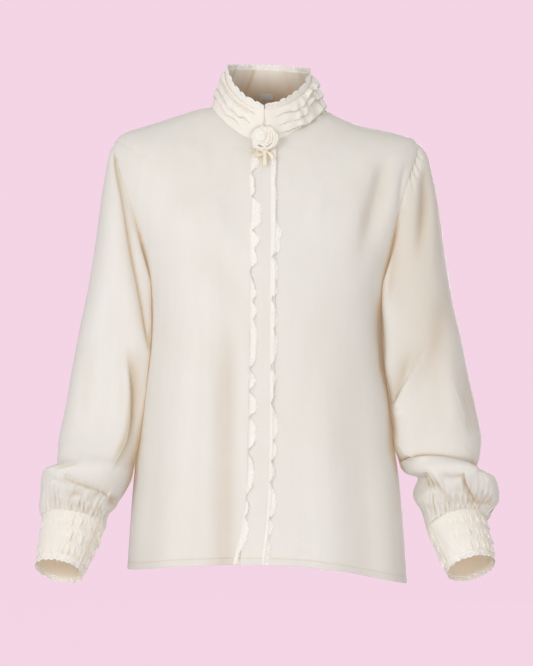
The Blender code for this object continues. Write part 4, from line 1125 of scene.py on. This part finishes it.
def collar_out(theta, v, off):
    e = 0.012
    da = collar_point(theta + e, v) - collar_point(theta - e, v)
    db = collar_point(theta, v + e) - collar_point(theta, v - e)
    n = unit(np.cross(da, db))
    return collar_point(theta, v) + n * np.asarray(off)[..., None]


def neck_axis(v):
    return v * np.array([0, 0, 1.0]) + np.array([0, 0, 0.0])


def collar_span(theta_u, open_deg):
    d = math.radians(open_deg)
    return d + (2 * PI - 2 * d) * theta_u


# soft upright folds of the collar: angle from the front (plus is the wearer's
# left), slant down the collar and half width in degrees, depth outwards in mm
COLLAR_FOLDS = [
    (-131, 4, 3.6, 1.9),
    (-166, 9, 4.4, 1.7),
    (-148, 6, 8.0, -1.2),
    (174, 3, 8.0, -1.2),
    (150, -6, 5.0, 1.3),
    (135, -5, 5.0, 1.0),
    (118, -4, 6.0, -1.4),
    (-104, 0, 7.0, -1.0),
]


def collar_soft(theta, v):
    """Soft upright folds of the collar, deepest at the back."""
    x = np.degrees((theta + PI) % (2 * PI) - PI)
    out = np.zeros(np.shape(theta))
    for at, slant, half, depth in COLLAR_FOLDS:
        out = out + depth * np.exp(-((x - at - slant * (1 - v)) / half) ** 2)
    return out * smooth(v * 1.3 - 0.1) * (1 - 0.45 * v)


def collar_pieces():
    u, v = np.meshgrid(np.linspace(0, 1, 190), np.linspace(-0.035, 1, 24))
    # a keyhole slit at the front
    gap = 0.12 + 1.15 * np.exp(-((v - 0.56) / 0.15) ** 2)
    th = collar_span(u, 0.0) + np.radians(gap) * (1 - 2 * u) * smooth(np.abs(u - 0.5) * 20 - 9)
    p = collar_out(th, v, collar_soft(th, v) + np.where(v < 0, v * 30, 0))
    # painted shade deep in the neck: at the back the band gets darker and warmer towards its foot, with painted
    # shade lines along its upright folds
    x = np.degrees((th + PI) % (2 * PI) - PI)
    deep = smooth((np.abs(x) - 62) / 40)
    fold = deep * (0.14 + 0.76 * (1 - np.clip(v, 0, 1)) ** 1.25)
    for at, slant, half, weight in ((-127, 3, 3.0, .30), (-161, 9, 2.4, .34), (-152, 8, 7.0, .12),
                                    (154, -6, 4.0, .16), (128, -5, 6.0, .16)):
        fold += weight * deep * np.exp(-((x - at - slant * (1 - v)) / half) ** 2) * smooth(
            (v - 0.1) / 0.5)
    # the closed front has an under-lap behind the slit
    tx, tv = np.meshgrid(np.radians(np.linspace(-3.4, 3.4, 13)), np.linspace(0.22, 0.985, 24))
    lap = collar_out(tx, tv, np.full(tx.shape, -1.30))
    verts = np.vstack([p.reshape(-1, 3), lap.reshape(-1, 3)])
    faces = np.vstack([grid_faces(*u.shape), grid_faces(*tx.shape) + u.size])
    # the under-lap gets a little painted shade; the band's inner side takes the lining with stronger painted
    # shade
    make("collar_band", verts, faces, [BAND], "collar_band", 0.9,
         centre=neck_axis, fold=np.r_[fold.ravel(), np.full(tx.size, 0.10)],
         lining=BAND_IN_SHADED)

    # lace on the rim: deep rounded lobes
    cells, wide = 112, 8.8
    ab, faces, _ = lace_cells(cells, [(0, .22, 0), (.22, .46, .14), (.46, .74, .15),
                                      (.74, 1.0, 0)], seg=4)
    a, b = ab[:, 0] / cells, ab[:, 1]
    th = collar_span(a, 0.5)
    lobe = np.abs(np.sin(PI * (ab[:, 0] / 4.0 + 0.45 * noise1(a * 5, 3)))) ** 0.62
    picot = np.abs(np.sin(PI * ab[:, 0])) ** 0.8
    b = b * (1 - 0.36 * (1 - lobe) - 0.06 * (1 - picot) * smooth((b - 0.6) / 0.4))
    high = collar_high(th)
    off = collar_soft(th, np.ones_like(th)) + 0.25 + b * (
        0.6 + 1.3 * noise1(a * 13, 5) + 0.7 * noise1(a * 29, 6))
    p = collar_out(th, 1.0 - 0.02 + wide * b / high, off)
    make("collar_lace", p, faces, [LACE], "collar_lace", FINE,
         centre=neck_axis, merge=True)

    for k in range(3):
        collar_tier(k)


# sewn edge of each tier up the collar, and its free edge: pixels of the
# front view on the garment's right and left, and up the collar at the back
COLLAR_TIERS = [
    dict(top=0.93, back=0.60,
         right=[(222.5, 83), (226.4, 87.5), (230, 93), (232.7, 97.5), (238, 102.9), (244.3, 107.3),
                (248.8, 110), (253, 113.6), (256, 118)],
         left=[(315.5, 90), (308.6, 95.7), (307.5, 102), (302.3, 107.5), (297, 111.3), (290, 112),
               (282, 115), (274, 118)]),
    dict(top=0.74, back=0.31,
         right=[(219.5, 92), (223.8, 98.4), (226.4, 104.6), (229.1, 109.1), (234.5, 112.7), (238, 117.1),
                (243.4, 118), (247, 120.7), (249.2, 125), (250.2, 131)],
         left=[(321, 99.5), (311.3, 103), (309.5, 110), (304, 117), (297, 120.5), (288, 123),
               (280, 126), (276, 128)]),
    dict(top=0.48, back=0.05,
         right=[(214.5, 97.5), (219.3, 102.9), (222.9, 110), (225, 115.2), (230, 117.1), (235, 120.5),
                (237.8, 124.3), (239.5, 130)],
         left=[(323.8, 108.5), (320.5, 115), (313, 122.5), (307.7, 126.5), (300, 127), (292, 130.5),
               (284, 133), (279, 134.5)]),
]


def collar_free_edge(spec):
    """Angles and heights up the collar of a tier's free edge."""
    th, v = np.meshgrid(np.radians(np.linspace(-112, 112, 450)), np.linspace(-0.05, 1.02, 220))
    px, py = seen(collar_out(th, v, np.where(th < 0, 1.6, 4.0)))
    ang, up = [], []
    for side, key in ((-1, "right"), (1, "left")):
        line = line_of(spec[key], 40)
        if side > 0:
            line = line[::-1]
        m = th * side > 0
        for x, y in line:
            i = np.argmin(np.where(m, (px - x) ** 2 + (py - y) ** 2, 1e9))
            ang.append(th.ravel()[i])
            up.append(v.ravel()[i])
    ang, up = np.array(ang), np.array(up)
    return ang, up


def collar_tier(k):
    spec = COLLAR_TIERS[k]
    ang, up = collar_free_edge(spec)
    r, l = ang < 0, ang > 0
    end_r, end_l = ang[r].max(), ang[l].min()
    cells, seg, rows = 96, 4, 13
    cols = cells * seg + 1
    g = np.stack(np.meshgrid(np.linspace(0, 1, cols), np.linspace(0, 0.84, rows)),
                 axis=-1).reshape(-1, 2)
    ab, lf, _ = lace_cells(cells, [(0.84, 1.0, .22)], seg=seg)
    la = np.c_[ab[:, 0] / cells, ab[:, 1]]
    tip = la[:, 1] > 0.99
    la[tip, 1] -= 0.07 * (1 - np.abs(np.sin(PI * ab[tip, 0])) ** 0.8)
    pts = np.vstack([g, la])
    f = np.vstack([grid_faces(rows, cols), lf + len(g)])
    fm = np.r_[np.zeros((rows - 1) * (cols - 1)), np.ones(len(lf))]
    u, q = pts[:, 0], pts[:, 1]
    th = end_l + (2 * PI + end_r - end_l) * u           # left front, back, right front
    x = np.degrees((th + PI) % (2 * PI) - PI)           # plus is the garment's left
    # height of the free edge all round
    deg = np.degrees(ang)
    order_l, order_r = np.argsort(deg[l]), np.argsort(deg[r])
    line = np.concatenate([deg[l][order_l], [125, 235], 360 + deg[r][order_r]])
    vals = np.concatenate([up[l][order_l], [spec["back"], spec["back"]], up[r][order_r]])
    fine = np.linspace(line[0], line[-1], 900)
    prof = np.interp(fine, line, vals)
    kern = np.exp(-0.5 * (np.arange(-9, 10) / 3.0) ** 2)
    prof = np.convolve(np.pad(prof, 9, mode="edge"), kern / kern.sum(), "valid")
    free = np.interp(x % 360, fine, prof)
    left = smooth((x - 22) / 34) * smooth((178 - x) / 60)
    back = smooth((np.abs(x) - 80) / 60)
    sd = 40 + 7 * k
    wave = 0.75 * noise1(u * (25, 28, 23)[k], sd, 1) + 0.5 * noise1(u * 14, sd + 1, 1)
    amp = 1.0 + 2.2 * left + 1.0 * back
    flare = 1.1 + 3.4 * left + 2.0 * back
    ends = smooth(u / 0.060) * smooth((1 - u) / 0.030)
    puff = 1.1 * np.sin(PI * np.clip(q, 0, 1)) * (1 - 0.4 * left)
    off = 0.55 + 0.35 * (2 - k) + puff + flare * np.sin(0.5 * PI * q) ** 1.1 + (
        amp * wave * q ** 1.4 * ends)
    off = off + 0.45 * noise1(u * 62, sd + 2, 2) * np.exp(-(q / 0.30) ** 2)
    off = np.maximum(off, 0.45 + 0.35 * (2 - k))
    # its ends sink into the collar
    off = -0.35 + (off + 0.35) * ends
    edge = 0.022 * noise1(u * 41, sd + 4) + 0.045 * back * noise1(u * 9, sd + 3)
    edge = edge + (0.012 + left * 0.04) * wave
    v = spec["top"] + (free + edge - spec["top"]) * q
    p = collar_out(th, v, off)
    make("collar_ruffle_%d" % (k + 1), p, f, [TRIM, LACE],
         "collar_ruffle_%d" % (k + 1), FINE, centre=neck_axis,
         face_mat=fm, merge=True)


def neck_label():
    x = np.linspace(-8, 8, 19)[None, :] * np.ones((12, 1))
    y = np.linspace(0, 1, 12)[:, None] * np.ones((1, 19))
    th = PI - np.arcsin(x / 66.0)
    high = collar_high(th)
    v = (5.0 + 8.5 * y) / high
    bulge = 0.5 * (1 - (x / 8) ** 2) * np.sin(PI * y) + 0.15
    p = collar_out(th, v, collar_soft(th, v) - (0.9 + 0.35 + bulge))
    make("neck_label", p, grid_faces(*x.shape), [LABEL], "neck_label",
         0.35, offset=1.0, centre=lambda v: v * np.array([1, 0, 1.0]) + np.array([0, 200, 0]))


# ---------------------------------------------------------- placket, trims
def front_place(dx, w):
    """Creased front face dx mm from the centre line: points and normals."""
    side = np.where(dx >= 0, 1.0, -1.0)
    front = np.ones(np.shape(w), bool)
    a, b, n, end, *_ = section(side, front, w)
    ang = np.arcsin(np.clip(np.abs(dx) / a, 0, 1) ** (n / 2))
    p, nn, d = front_sheet(side, ang, w)
    return p + nn * d[..., None], nn


def w_at_view(y, dx):
    """Body row whose point dx from the centre line is seen at height y."""
    lo, hi = np.zeros(np.shape(y)), np.ones(np.shape(y))
    side = np.where(dx >= 0, 1.0, -1.0)
    front = np.ones(np.shape(y), bool)
    for _ in range(22):
        mid = 0.5 * (lo + hi)
        a, b, n, *_ = section(side, front, mid)
        ang = np.arcsin(np.clip(np.abs(dx) / a, 0, 1) ** (n / 2))
        yy = seen(body_point(side, front, ang, mid))[1]
        lo, hi = np.where(yy > y, mid, lo), np.where(yy > y, hi, mid)
    return 0.5 * (lo + hi)


def placket():
    dx, w = np.meshgrid(np.r_[-PLACKET_HALF, -16.7, -16.0, -15.2, np.linspace(-14, 14, 15),
                              15.2, 16.0, 16.7, PLACKET_HALF],
                        np.r_[np.linspace(0, 0.02, 8)[:-1], np.linspace(0.02, 0.984, 230)])
    p, n = front_place(dx, w)
    lift = 0.25 + 1.15 * smooth((PLACKET_HALF - np.abs(dx)) / 1.6)
    lift = lift - 0.3 * np.exp(-((np.abs(dx) - 13.5) / 0.8) ** 2)
    lift = lift + 0.22 * noise1(w * 14, 71) * np.exp(-(dx / 9) ** 2)
    lift = lift + hem_relief(p) * 0.8
    p = p + n * lift[..., None]
    make("placket", p, grid_faces(*w.shape), [SILK], "placket", FINE,
         fold=hem_tint(p),
         centre=lambda v: v * np.array([1, 0, 1.0]) + np.array([0, 200, 0]))


def placket_lace(name, seam, edge, y0, y1, seed):
    """Ruffled trim: sewn along one line, its free edge flips in and out."""
    cells = int((y1 - y0) * 1.33 / 4.5)
    bands = [(0, .20, 0), (.20, .46, .15), (.46, .58, 0), (.58, .84, .17), (.84, 1.0, 0)]
    ab, faces, _ = lace_cells(cells, bands)
    y = y0 + (y1 - y0) * ab[:, 0] / cells
    b = ab[:, 1]
    sm, ed = Table(seam, fine=800), Table(edge, blur=0.30, fine=4000)
    xs, xe = sm(y)[0], ed(y)[0]
    # the sewn strip is a little wider than its seam line, the lobes fuller
    xe = xe + 0.8 * smooth((xe - xs - 0.8) / 3.0)
    xs = xs - 0.6
    # centre line of the fronts in the view at that height
    w0 = w_at_view(y, np.zeros_like(y))
    c, _ = front_place(np.zeros_like(y), w0)
    scale = (c[:, 1] - EYE_Y) / FOCAL
    cx = seen(c)[0]
    ds = (xs - cx) * scale
    reach = np.clip((xe - xs) * scale + 0.7 * noise1(y / 5.3, seed + 3, 2), 0.2, 16)
    wide = 9.6
    rise = np.sqrt(np.clip(wide ** 2 - reach ** 2, 1.0, 9.0))
    bb = b
    over = ds + reach * bb ** 0.9
    over = over - 1.9 * (1 - np.abs(np.sin(PI * ab[:, 0])) ** 0.8) * smooth((b - 0.7) / 0.3)
    p, n = front_place(over, w_at_view(y, over))
    under = np.where(np.abs(over) < PLACKET_HALF,
                     0.25 + 1.15 * smooth((PLACKET_HALF - np.abs(over)) / 1.6), 0.05)
    h = under + 0.05 + 0.30 * smooth(bb / 0.12) + rise * np.sin(bb * PI * 0.72) * (0.52 - 0.16 * bb)
    h = h + (0.5 * noise1(y / 9.0, seed) + 0.25 * noise1(y / 4.0, seed + 1)) * bb
    p = p + n * h[:, None]
    # painted shade along the lace's sewn edge, where it lies on the placket
    make(name, p, faces, [LACE], name, FINE, merge=True,
         fold=0.24 * np.exp(-(b / 0.16) ** 2),
         centre=lambda v: v * np.array([1, 0, 1.0]) + np.array([0, 200, 0]))


# --------------------------------------------------------- rosette and bow
ROSETTE_AT = np.array([-2.7, -71.6, -47.0])
BOW_AT = np.array([-4.0, -77.6, -66.6])


def petal(middle, radii, a0, a1, base, high, wide, tilt, seed, cols=46, rows=11):
    """A petal: a rounded band of folded ribbon along an arc.  It rises from
    its inner edge, rolls over and falls to its outer edge; base and high are
    how far its foot and its crest stand off, wide how far it reaches out."""
    u, v = np.meshgrid(np.linspace(0, 1, cols), np.linspace(0, 1, rows))
    ang = np.radians(a0 + (a1 - a0) * u)
    ends = np.clip(np.sin(PI * u), 0, 1) ** 0.45
    wav = noise1(u * 2.6, seed, 2) * 0.55 * v + noise1(u * 6, seed + 1, 2) * 0.25 * v
    out = wide * (v - 0.25) * (0.35 + 0.65 * ends) + wav
    r = np.stack([radii[0] + out, radii[1] + out])
    y = base + (high - base) * np.sin(PI * (0.10 + tilt * v)) * (0.35 + 0.65 * ends)
    return vec(r[0] * np.cos(ang), -y, r[1] * np.sin(ang)) + middle


def join_grids(grids):
    verts, faces, base = [], [], 0
    for g in grids:
        r, c = g.shape[:2]
        verts.append(g.reshape(-1, 3))
        faces.append(grid_faces(r, c) + base)
        base += r * c
    return np.vstack(verts), np.vstack(faces)


def rosette():
    c = ROSETTE_AT
    grids = []
    # bud: folded ribbon wound into a smooth oval, with the groove of its turn
    bud = c + np.array([-4.6, 0.0, 2.2])
    u, v = np.meshgrid(np.linspace(0, 1, 72), np.linspace(0.02, 1, 26))
    ang = 2 * PI * u
    r = np.sin(v * PI * 0.5)
    turn = (ang / (2 * PI) + 0.55 - 1.5 * v) % 1.0
    groove = -0.9 * np.exp(-((turn - 0.5) / 0.10) ** 2) * smooth(v / 0.3) * smooth((1 - v) / 0.25)
    y = 3.4 + 5.4 * np.clip(np.cos(v * PI * 0.5), 0, 1) ** 0.70 + groove
    grids.append(vec(9.0 * r * np.cos(ang), -y, 11.0 * r * np.sin(ang)) + bud)
    ring = [
        # dx   dz    rx    rz    from   to  base  high wide tilt
        (-3.8, 2.2, 8.8, 10.6, -112, 84, 4.4, 7.4, 3.8, 0.72),
        (-4.6, 2.0, 9.0, 11.0, 104, 258, 4.0, 6.8, 3.4, 0.74),
        (-1.8, 1.4, 10.4, 11.0, -96, 70, 3.8, 6.4, 4.4, 0.76),
        (0.6, -1.0, 12.2, 12.4, -88, 40, 3.2, 5.6, 4.6, 0.78),
        (1.6, 1.2, 12.0, 12.2, 4, 84, 3.2, 5.8, 4.4, 0.78),
        (2.6, -0.6, 13.6, 13.2, -58, 62, 2.4, 4.6, 4.0, 0.80),
        (-2.8, -0.6, 11.8, 12.6, 192, 296, 3.6, 6.2, 4.4, 0.74),
        (-1.8, -1.2, 14.0, 15.0, 200, 300, 2.4, 4.6, 4.0, 0.78),
        (-2.4, 0.4, 13.0, 12.6, 132, 204, 2.2, 4.4, 3.8, 0.80),
        (-0.8, 1.6, 12.2, 12.0, 70, 136, 2.0, 4.2, 3.8, 0.80),
    ]
    for i, (dx, dz, rx, rz, a0, a1, base, high, wide, tilt) in enumerate(ring):
        grids.append(petal(c + [dx, 0.0, dz], (rx, rz), a0, a1, base, high, wide, tilt, 10 + i))
    v, f = join_grids(grids)
    make("rosette", v, f, [TRIM], "rosette", FINE, offset=0.0)


def ribbon_band(path, width, side, cols=36, rows=7, bow=0.0):
    """Flat ribbon along a path, cupped by bow across its width."""
    p = path
    v = np.linspace(-0.5, 0.5, rows)
    t = unit(np.gradient(p, axis=0))
    s = unit(side - t * (side * t).sum(axis=1, keepdims=True))
    n = np.cross(t, s)
    return (p[None] + s[None] * (v * width)[:, None, None]
            + n[None] * (bow * (1 - (2 * v) ** 2))[:, None, None])


def bow():
    x0, y0, z0 = BOW_AT
    # loop on the wearer's right: its upper run is seen on edge, its lower run
    # turns to the front
    ang = np.linspace(0, 2 * PI, 64)
    k = 0.5 * (1 - np.cos(ang))
    px = x0 - 1.0 - 15.6 * k
    pz = z0 - 0.2 + 3.4 * k ** 1.4 + 3.0 * np.sin(ang) * (0.5 + 0.5 * k) - 2.6 * np.clip(
        -np.sin(ang), 0, 1)
    py = y0 + 1.2 + 0.8 * np.cos(ang)
    face = smooth((-np.sin(ang) + 0.2) / 0.8)
    side = unit(vec(0.25 * face, -(1 - 0.75 * face), 0.15 - 0.85 * face))
    loop = ribbon_band(vec(px, py, pz), 4.8, side)
    v, f = join_grids([loop])
    make("ribbon_loop", v, f, [RIBBON], "ribbon_loop", FINE, offset=0.0)

    def tail(name, pts, width, seed):
        ln = line_of([p[:2] for p in pts], 34)
        ly = np.interp(np.linspace(0, 1, 34), np.linspace(0, 1, len(pts)),
                       [p[2] for p in pts])
        path = vec(ln[:, 0], ly, ln[:, 1])
        w = width * np.linspace(0.8, 1.06, 34)[None, :, None]
        v = np.linspace(-0.5, 0.5, 9)[:, None, None]
        t = unit(np.gradient(path, axis=0))
        s = unit(np.array([[1.0, 0, 0]] * 34) - t * t[:, :1])
        n = np.cross(t, s)
        n *= -np.sign(n[:, 1:2])
        g = path[None] + s[None] * v * w + n[None] * (0.7 * (1 - (2 * v) ** 2))
        v, f = join_grids([g])
        make(name, v, f, [RIBBON], name, FINE, offset=0.0)

    tail("ribbon_tail_right", [(-2.4, -66.4, -79.0), (-2.2, -72, -82.0),
                               (-2.0, -79, -83.0), (-2.2, -84.6, -83.6)], 5.6, 1)
    tail("ribbon_tail_left", [(0.6, -66.0, -79.0), (3.8, -67.8, -81.6),
                              (6.8, -71.4, -82.4), (8.6, -75.6, -82.6)], 5.2, 2)
    # knot: a short band of ribbon wrapped round the bow
    u, v = np.meshgrid(np.linspace(0, 2 * PI, 49)[:-1], np.linspace(-1, 1, 15))
    r = np.sqrt(np.clip(1 - v ** 2 * 0.86, 0, 1))
    fold = 1 + 0.05 * np.cos(3 * PI * v)
    p = vec(x0 + 1.6 + 3.8 * v, y0 - 0.2 + 2.2 * r * np.sin(u) * fold,
            z0 + 0.6 + 2.0 * r * np.cos(u) * fold)
    make("ribbon_knot", p, grid_faces(15, 48, closed=True), [RIBBON], "ribbon_knot",
         FINE, offset=-1.0,
         centre=lambda v: v * np.array([1.0, 0, 0]) + np.array([0, y0, z0]))


# --------------------------------------------------------------- stage, eye
def backdrop_material(name, colour, glow):
    mat = bpy.data.materials.new(name)
    mat.use_nodes = True
    sh = mat.node_tree.nodes["Principled BSDF"]
    sh.inputs["Base Color"].default_value = (*colour, 1.0)
    sh.inputs["Roughness"].default_value = 0.9
    sh.inputs["Specular IOR Level"].default_value = 0.0
    sh.inputs["Emission Color"].default_value = (*glow, 1.0)
    sh.inputs["Emission Strength"].default_value = 1.0
    return mat


def stage():
    """Pale round floor that sweeps up into a wall all round."""
    floor_z, radius, bend, high = -1.15, 7.0, 2.2, 4.6
    prof = [(0.0, floor_z), (radius - bend, floor_z)]
    for i in range(1, 13):
        a = 0.5 * PI * i / 12
        prof.append((radius - bend + bend * math.sin(a), floor_z + bend * (1 - math.cos(a))))
    prof.append((radius, floor_z + high))
    n = 72
    verts = [(r * math.cos(2 * PI * k / n), r * math.sin(2 * PI * k / n), z)
             for r, z in prof[1:] for k in range(n)]
    verts.append((0, 0, floor_z))
    faces = [(j * n + k, j * n + (k + 1) % n, (j + 1) * n + (k + 1) % n, (j + 1) * n + k)
             for j in range(len(prof) - 2) for k in range(n)]
    faces += [(len(verts) - 1, (k + 1) % n, k) for k in range(n)]
    me = bpy.data.meshes.new("floor")
    me.from_pydata(verts, [], faces)
    me.shade_smooth()
    me.materials.append(backdrop_material("floor", (0.005, 0.004, 0.0045), (0.898, 0.660, 0.783)))
    ob = bpy.data.objects.new("floor", me)
    bpy.context.scene.collection.objects.link(ob)
    ob.visible_diffuse = False
    ob.visible_shadow = False


def area_light(name, at, aim, size, power, colour):
    from mathutils import Vector
    li = bpy.data.lights.new(name, "AREA")
    li.shape = "DISK"
    li.size = size
    li.energy = power
    li.color = colour
    ob = bpy.data.objects.new(name, li)
    bpy.context.scene.collection.objects.link(ob)
    ob.location = at
    ob.rotation_mode = "QUATERNION"
    ob.rotation_quaternion = (Vector(aim) - Vector(at)).to_track_quat("-Z", "Y")


def lights():
    world = bpy.data.worlds.new("studio")
    bpy.context.scene.world = world
    world.use_nodes = True
    bg = world.node_tree.nodes["Background"]
    bg.inputs["Color"].default_value = (1.0, 0.965, 0.905, 1.0)
    bg.inputs["Strength"].default_value = 0.40
    mid = (0.0, 0.0, -0.30)
    area_light("key", (-2.5, -3.0, 0.8), mid, 2.0, 51, (0.99, 0.995, 1.0))
    area_light("front", (0.3, -3.8, -1.0), mid, 1.6, 46, (0.99, 0.995, 1.0))
    area_light("side", (-3.4, -0.9, 0.0), mid, 2.0, 9, (1.0, 0.995, 0.99))
    area_light("fill", (2.6, -2.6, -0.1), mid, 2.6, 15.5, (1.0, 0.985, 0.95))
    area_light("top", (0.3, -0.6, 2.6), mid, 2.4, 11, (1.0, 0.99, 0.97))
    area_light("behind", (0.6, 3.4, 0.1), mid, 2.6, 62, (1.0, 0.985, 0.96))


def camera():
    cam = bpy.data.cameras.new("view")
    cam.lens = 109.7
    cam.sensor_width = 36.0
    ob = bpy.data.objects.new("view", cam)
    bpy.context.scene.collection.objects.link(ob)
    ob.location = (0.0, EYE_Y * MM, EYE_Z * MM)
    ob.rotation_euler = (math.radians(90), 0, 0)
    cam.clip_end = 60.0
    bpy.context.scene.camera = ob


# -------------------------------------------------------------------- build
front_panel("front_right", -1.0)
front_panel("front_left", 1.0)
back_panel()
sleeve("sleeve_right", CUFFS["right"], SLEEVE_R, RIGHT_SLEEVE_CREASES,
       RIGHT_SLEEVE_LAPS, GATHERS_R,
       lambda s: (3.0 * smooth(s / 0.12) * (1 - smooth((s - 0.55) / 0.20)) + 0.5,
                  12.0 * smooth(s / 0.12) * (1 - smooth((s - 0.72) / 0.08))), 11, 0.3)
sleeve("sleeve_left", CUFFS["left"], SLEEVE_L, LEFT_SLEEVE_CREASES,
       LEFT_SLEEVE_LAPS, GATHERS_L,
       lambda s: (3.0 * smooth(s / 0.12) * (1 - smooth((s - 0.45) / 0.2)) + 0.5
                  + 3.4 * smooth((s - 0.42) / 0.12) * (1 - smooth((s - 0.80) / 0.06)),
                  12.0 * smooth(s / 0.12) * (1 - 0.55 * smooth((s - 0.48) / 0.12))
                  * (1 - smooth((s - 0.74) / 0.08))), 23, 1.4)
cuff_pieces("right", CUFFS["right"], 101)
cuff_pieces("left", CUFFS["left"], 202)
collar_pieces()
neck_label()
placket()
placket_lace("placket_lace_right", TRIM_SEAM_R, TRIM_EDGE_R, 146.0, 564.5, 301)
placket_lace("placket_lace_left", TRIM_SEAM_L, TRIM_EDGE_L, 148.0, 566.0, 305)
rosette()
bow()
stage()
lights()
camera()
bpy.context.scene.view_settings.view_transform = "Standard"
bpy.context.scene.view_settings.look = "None"
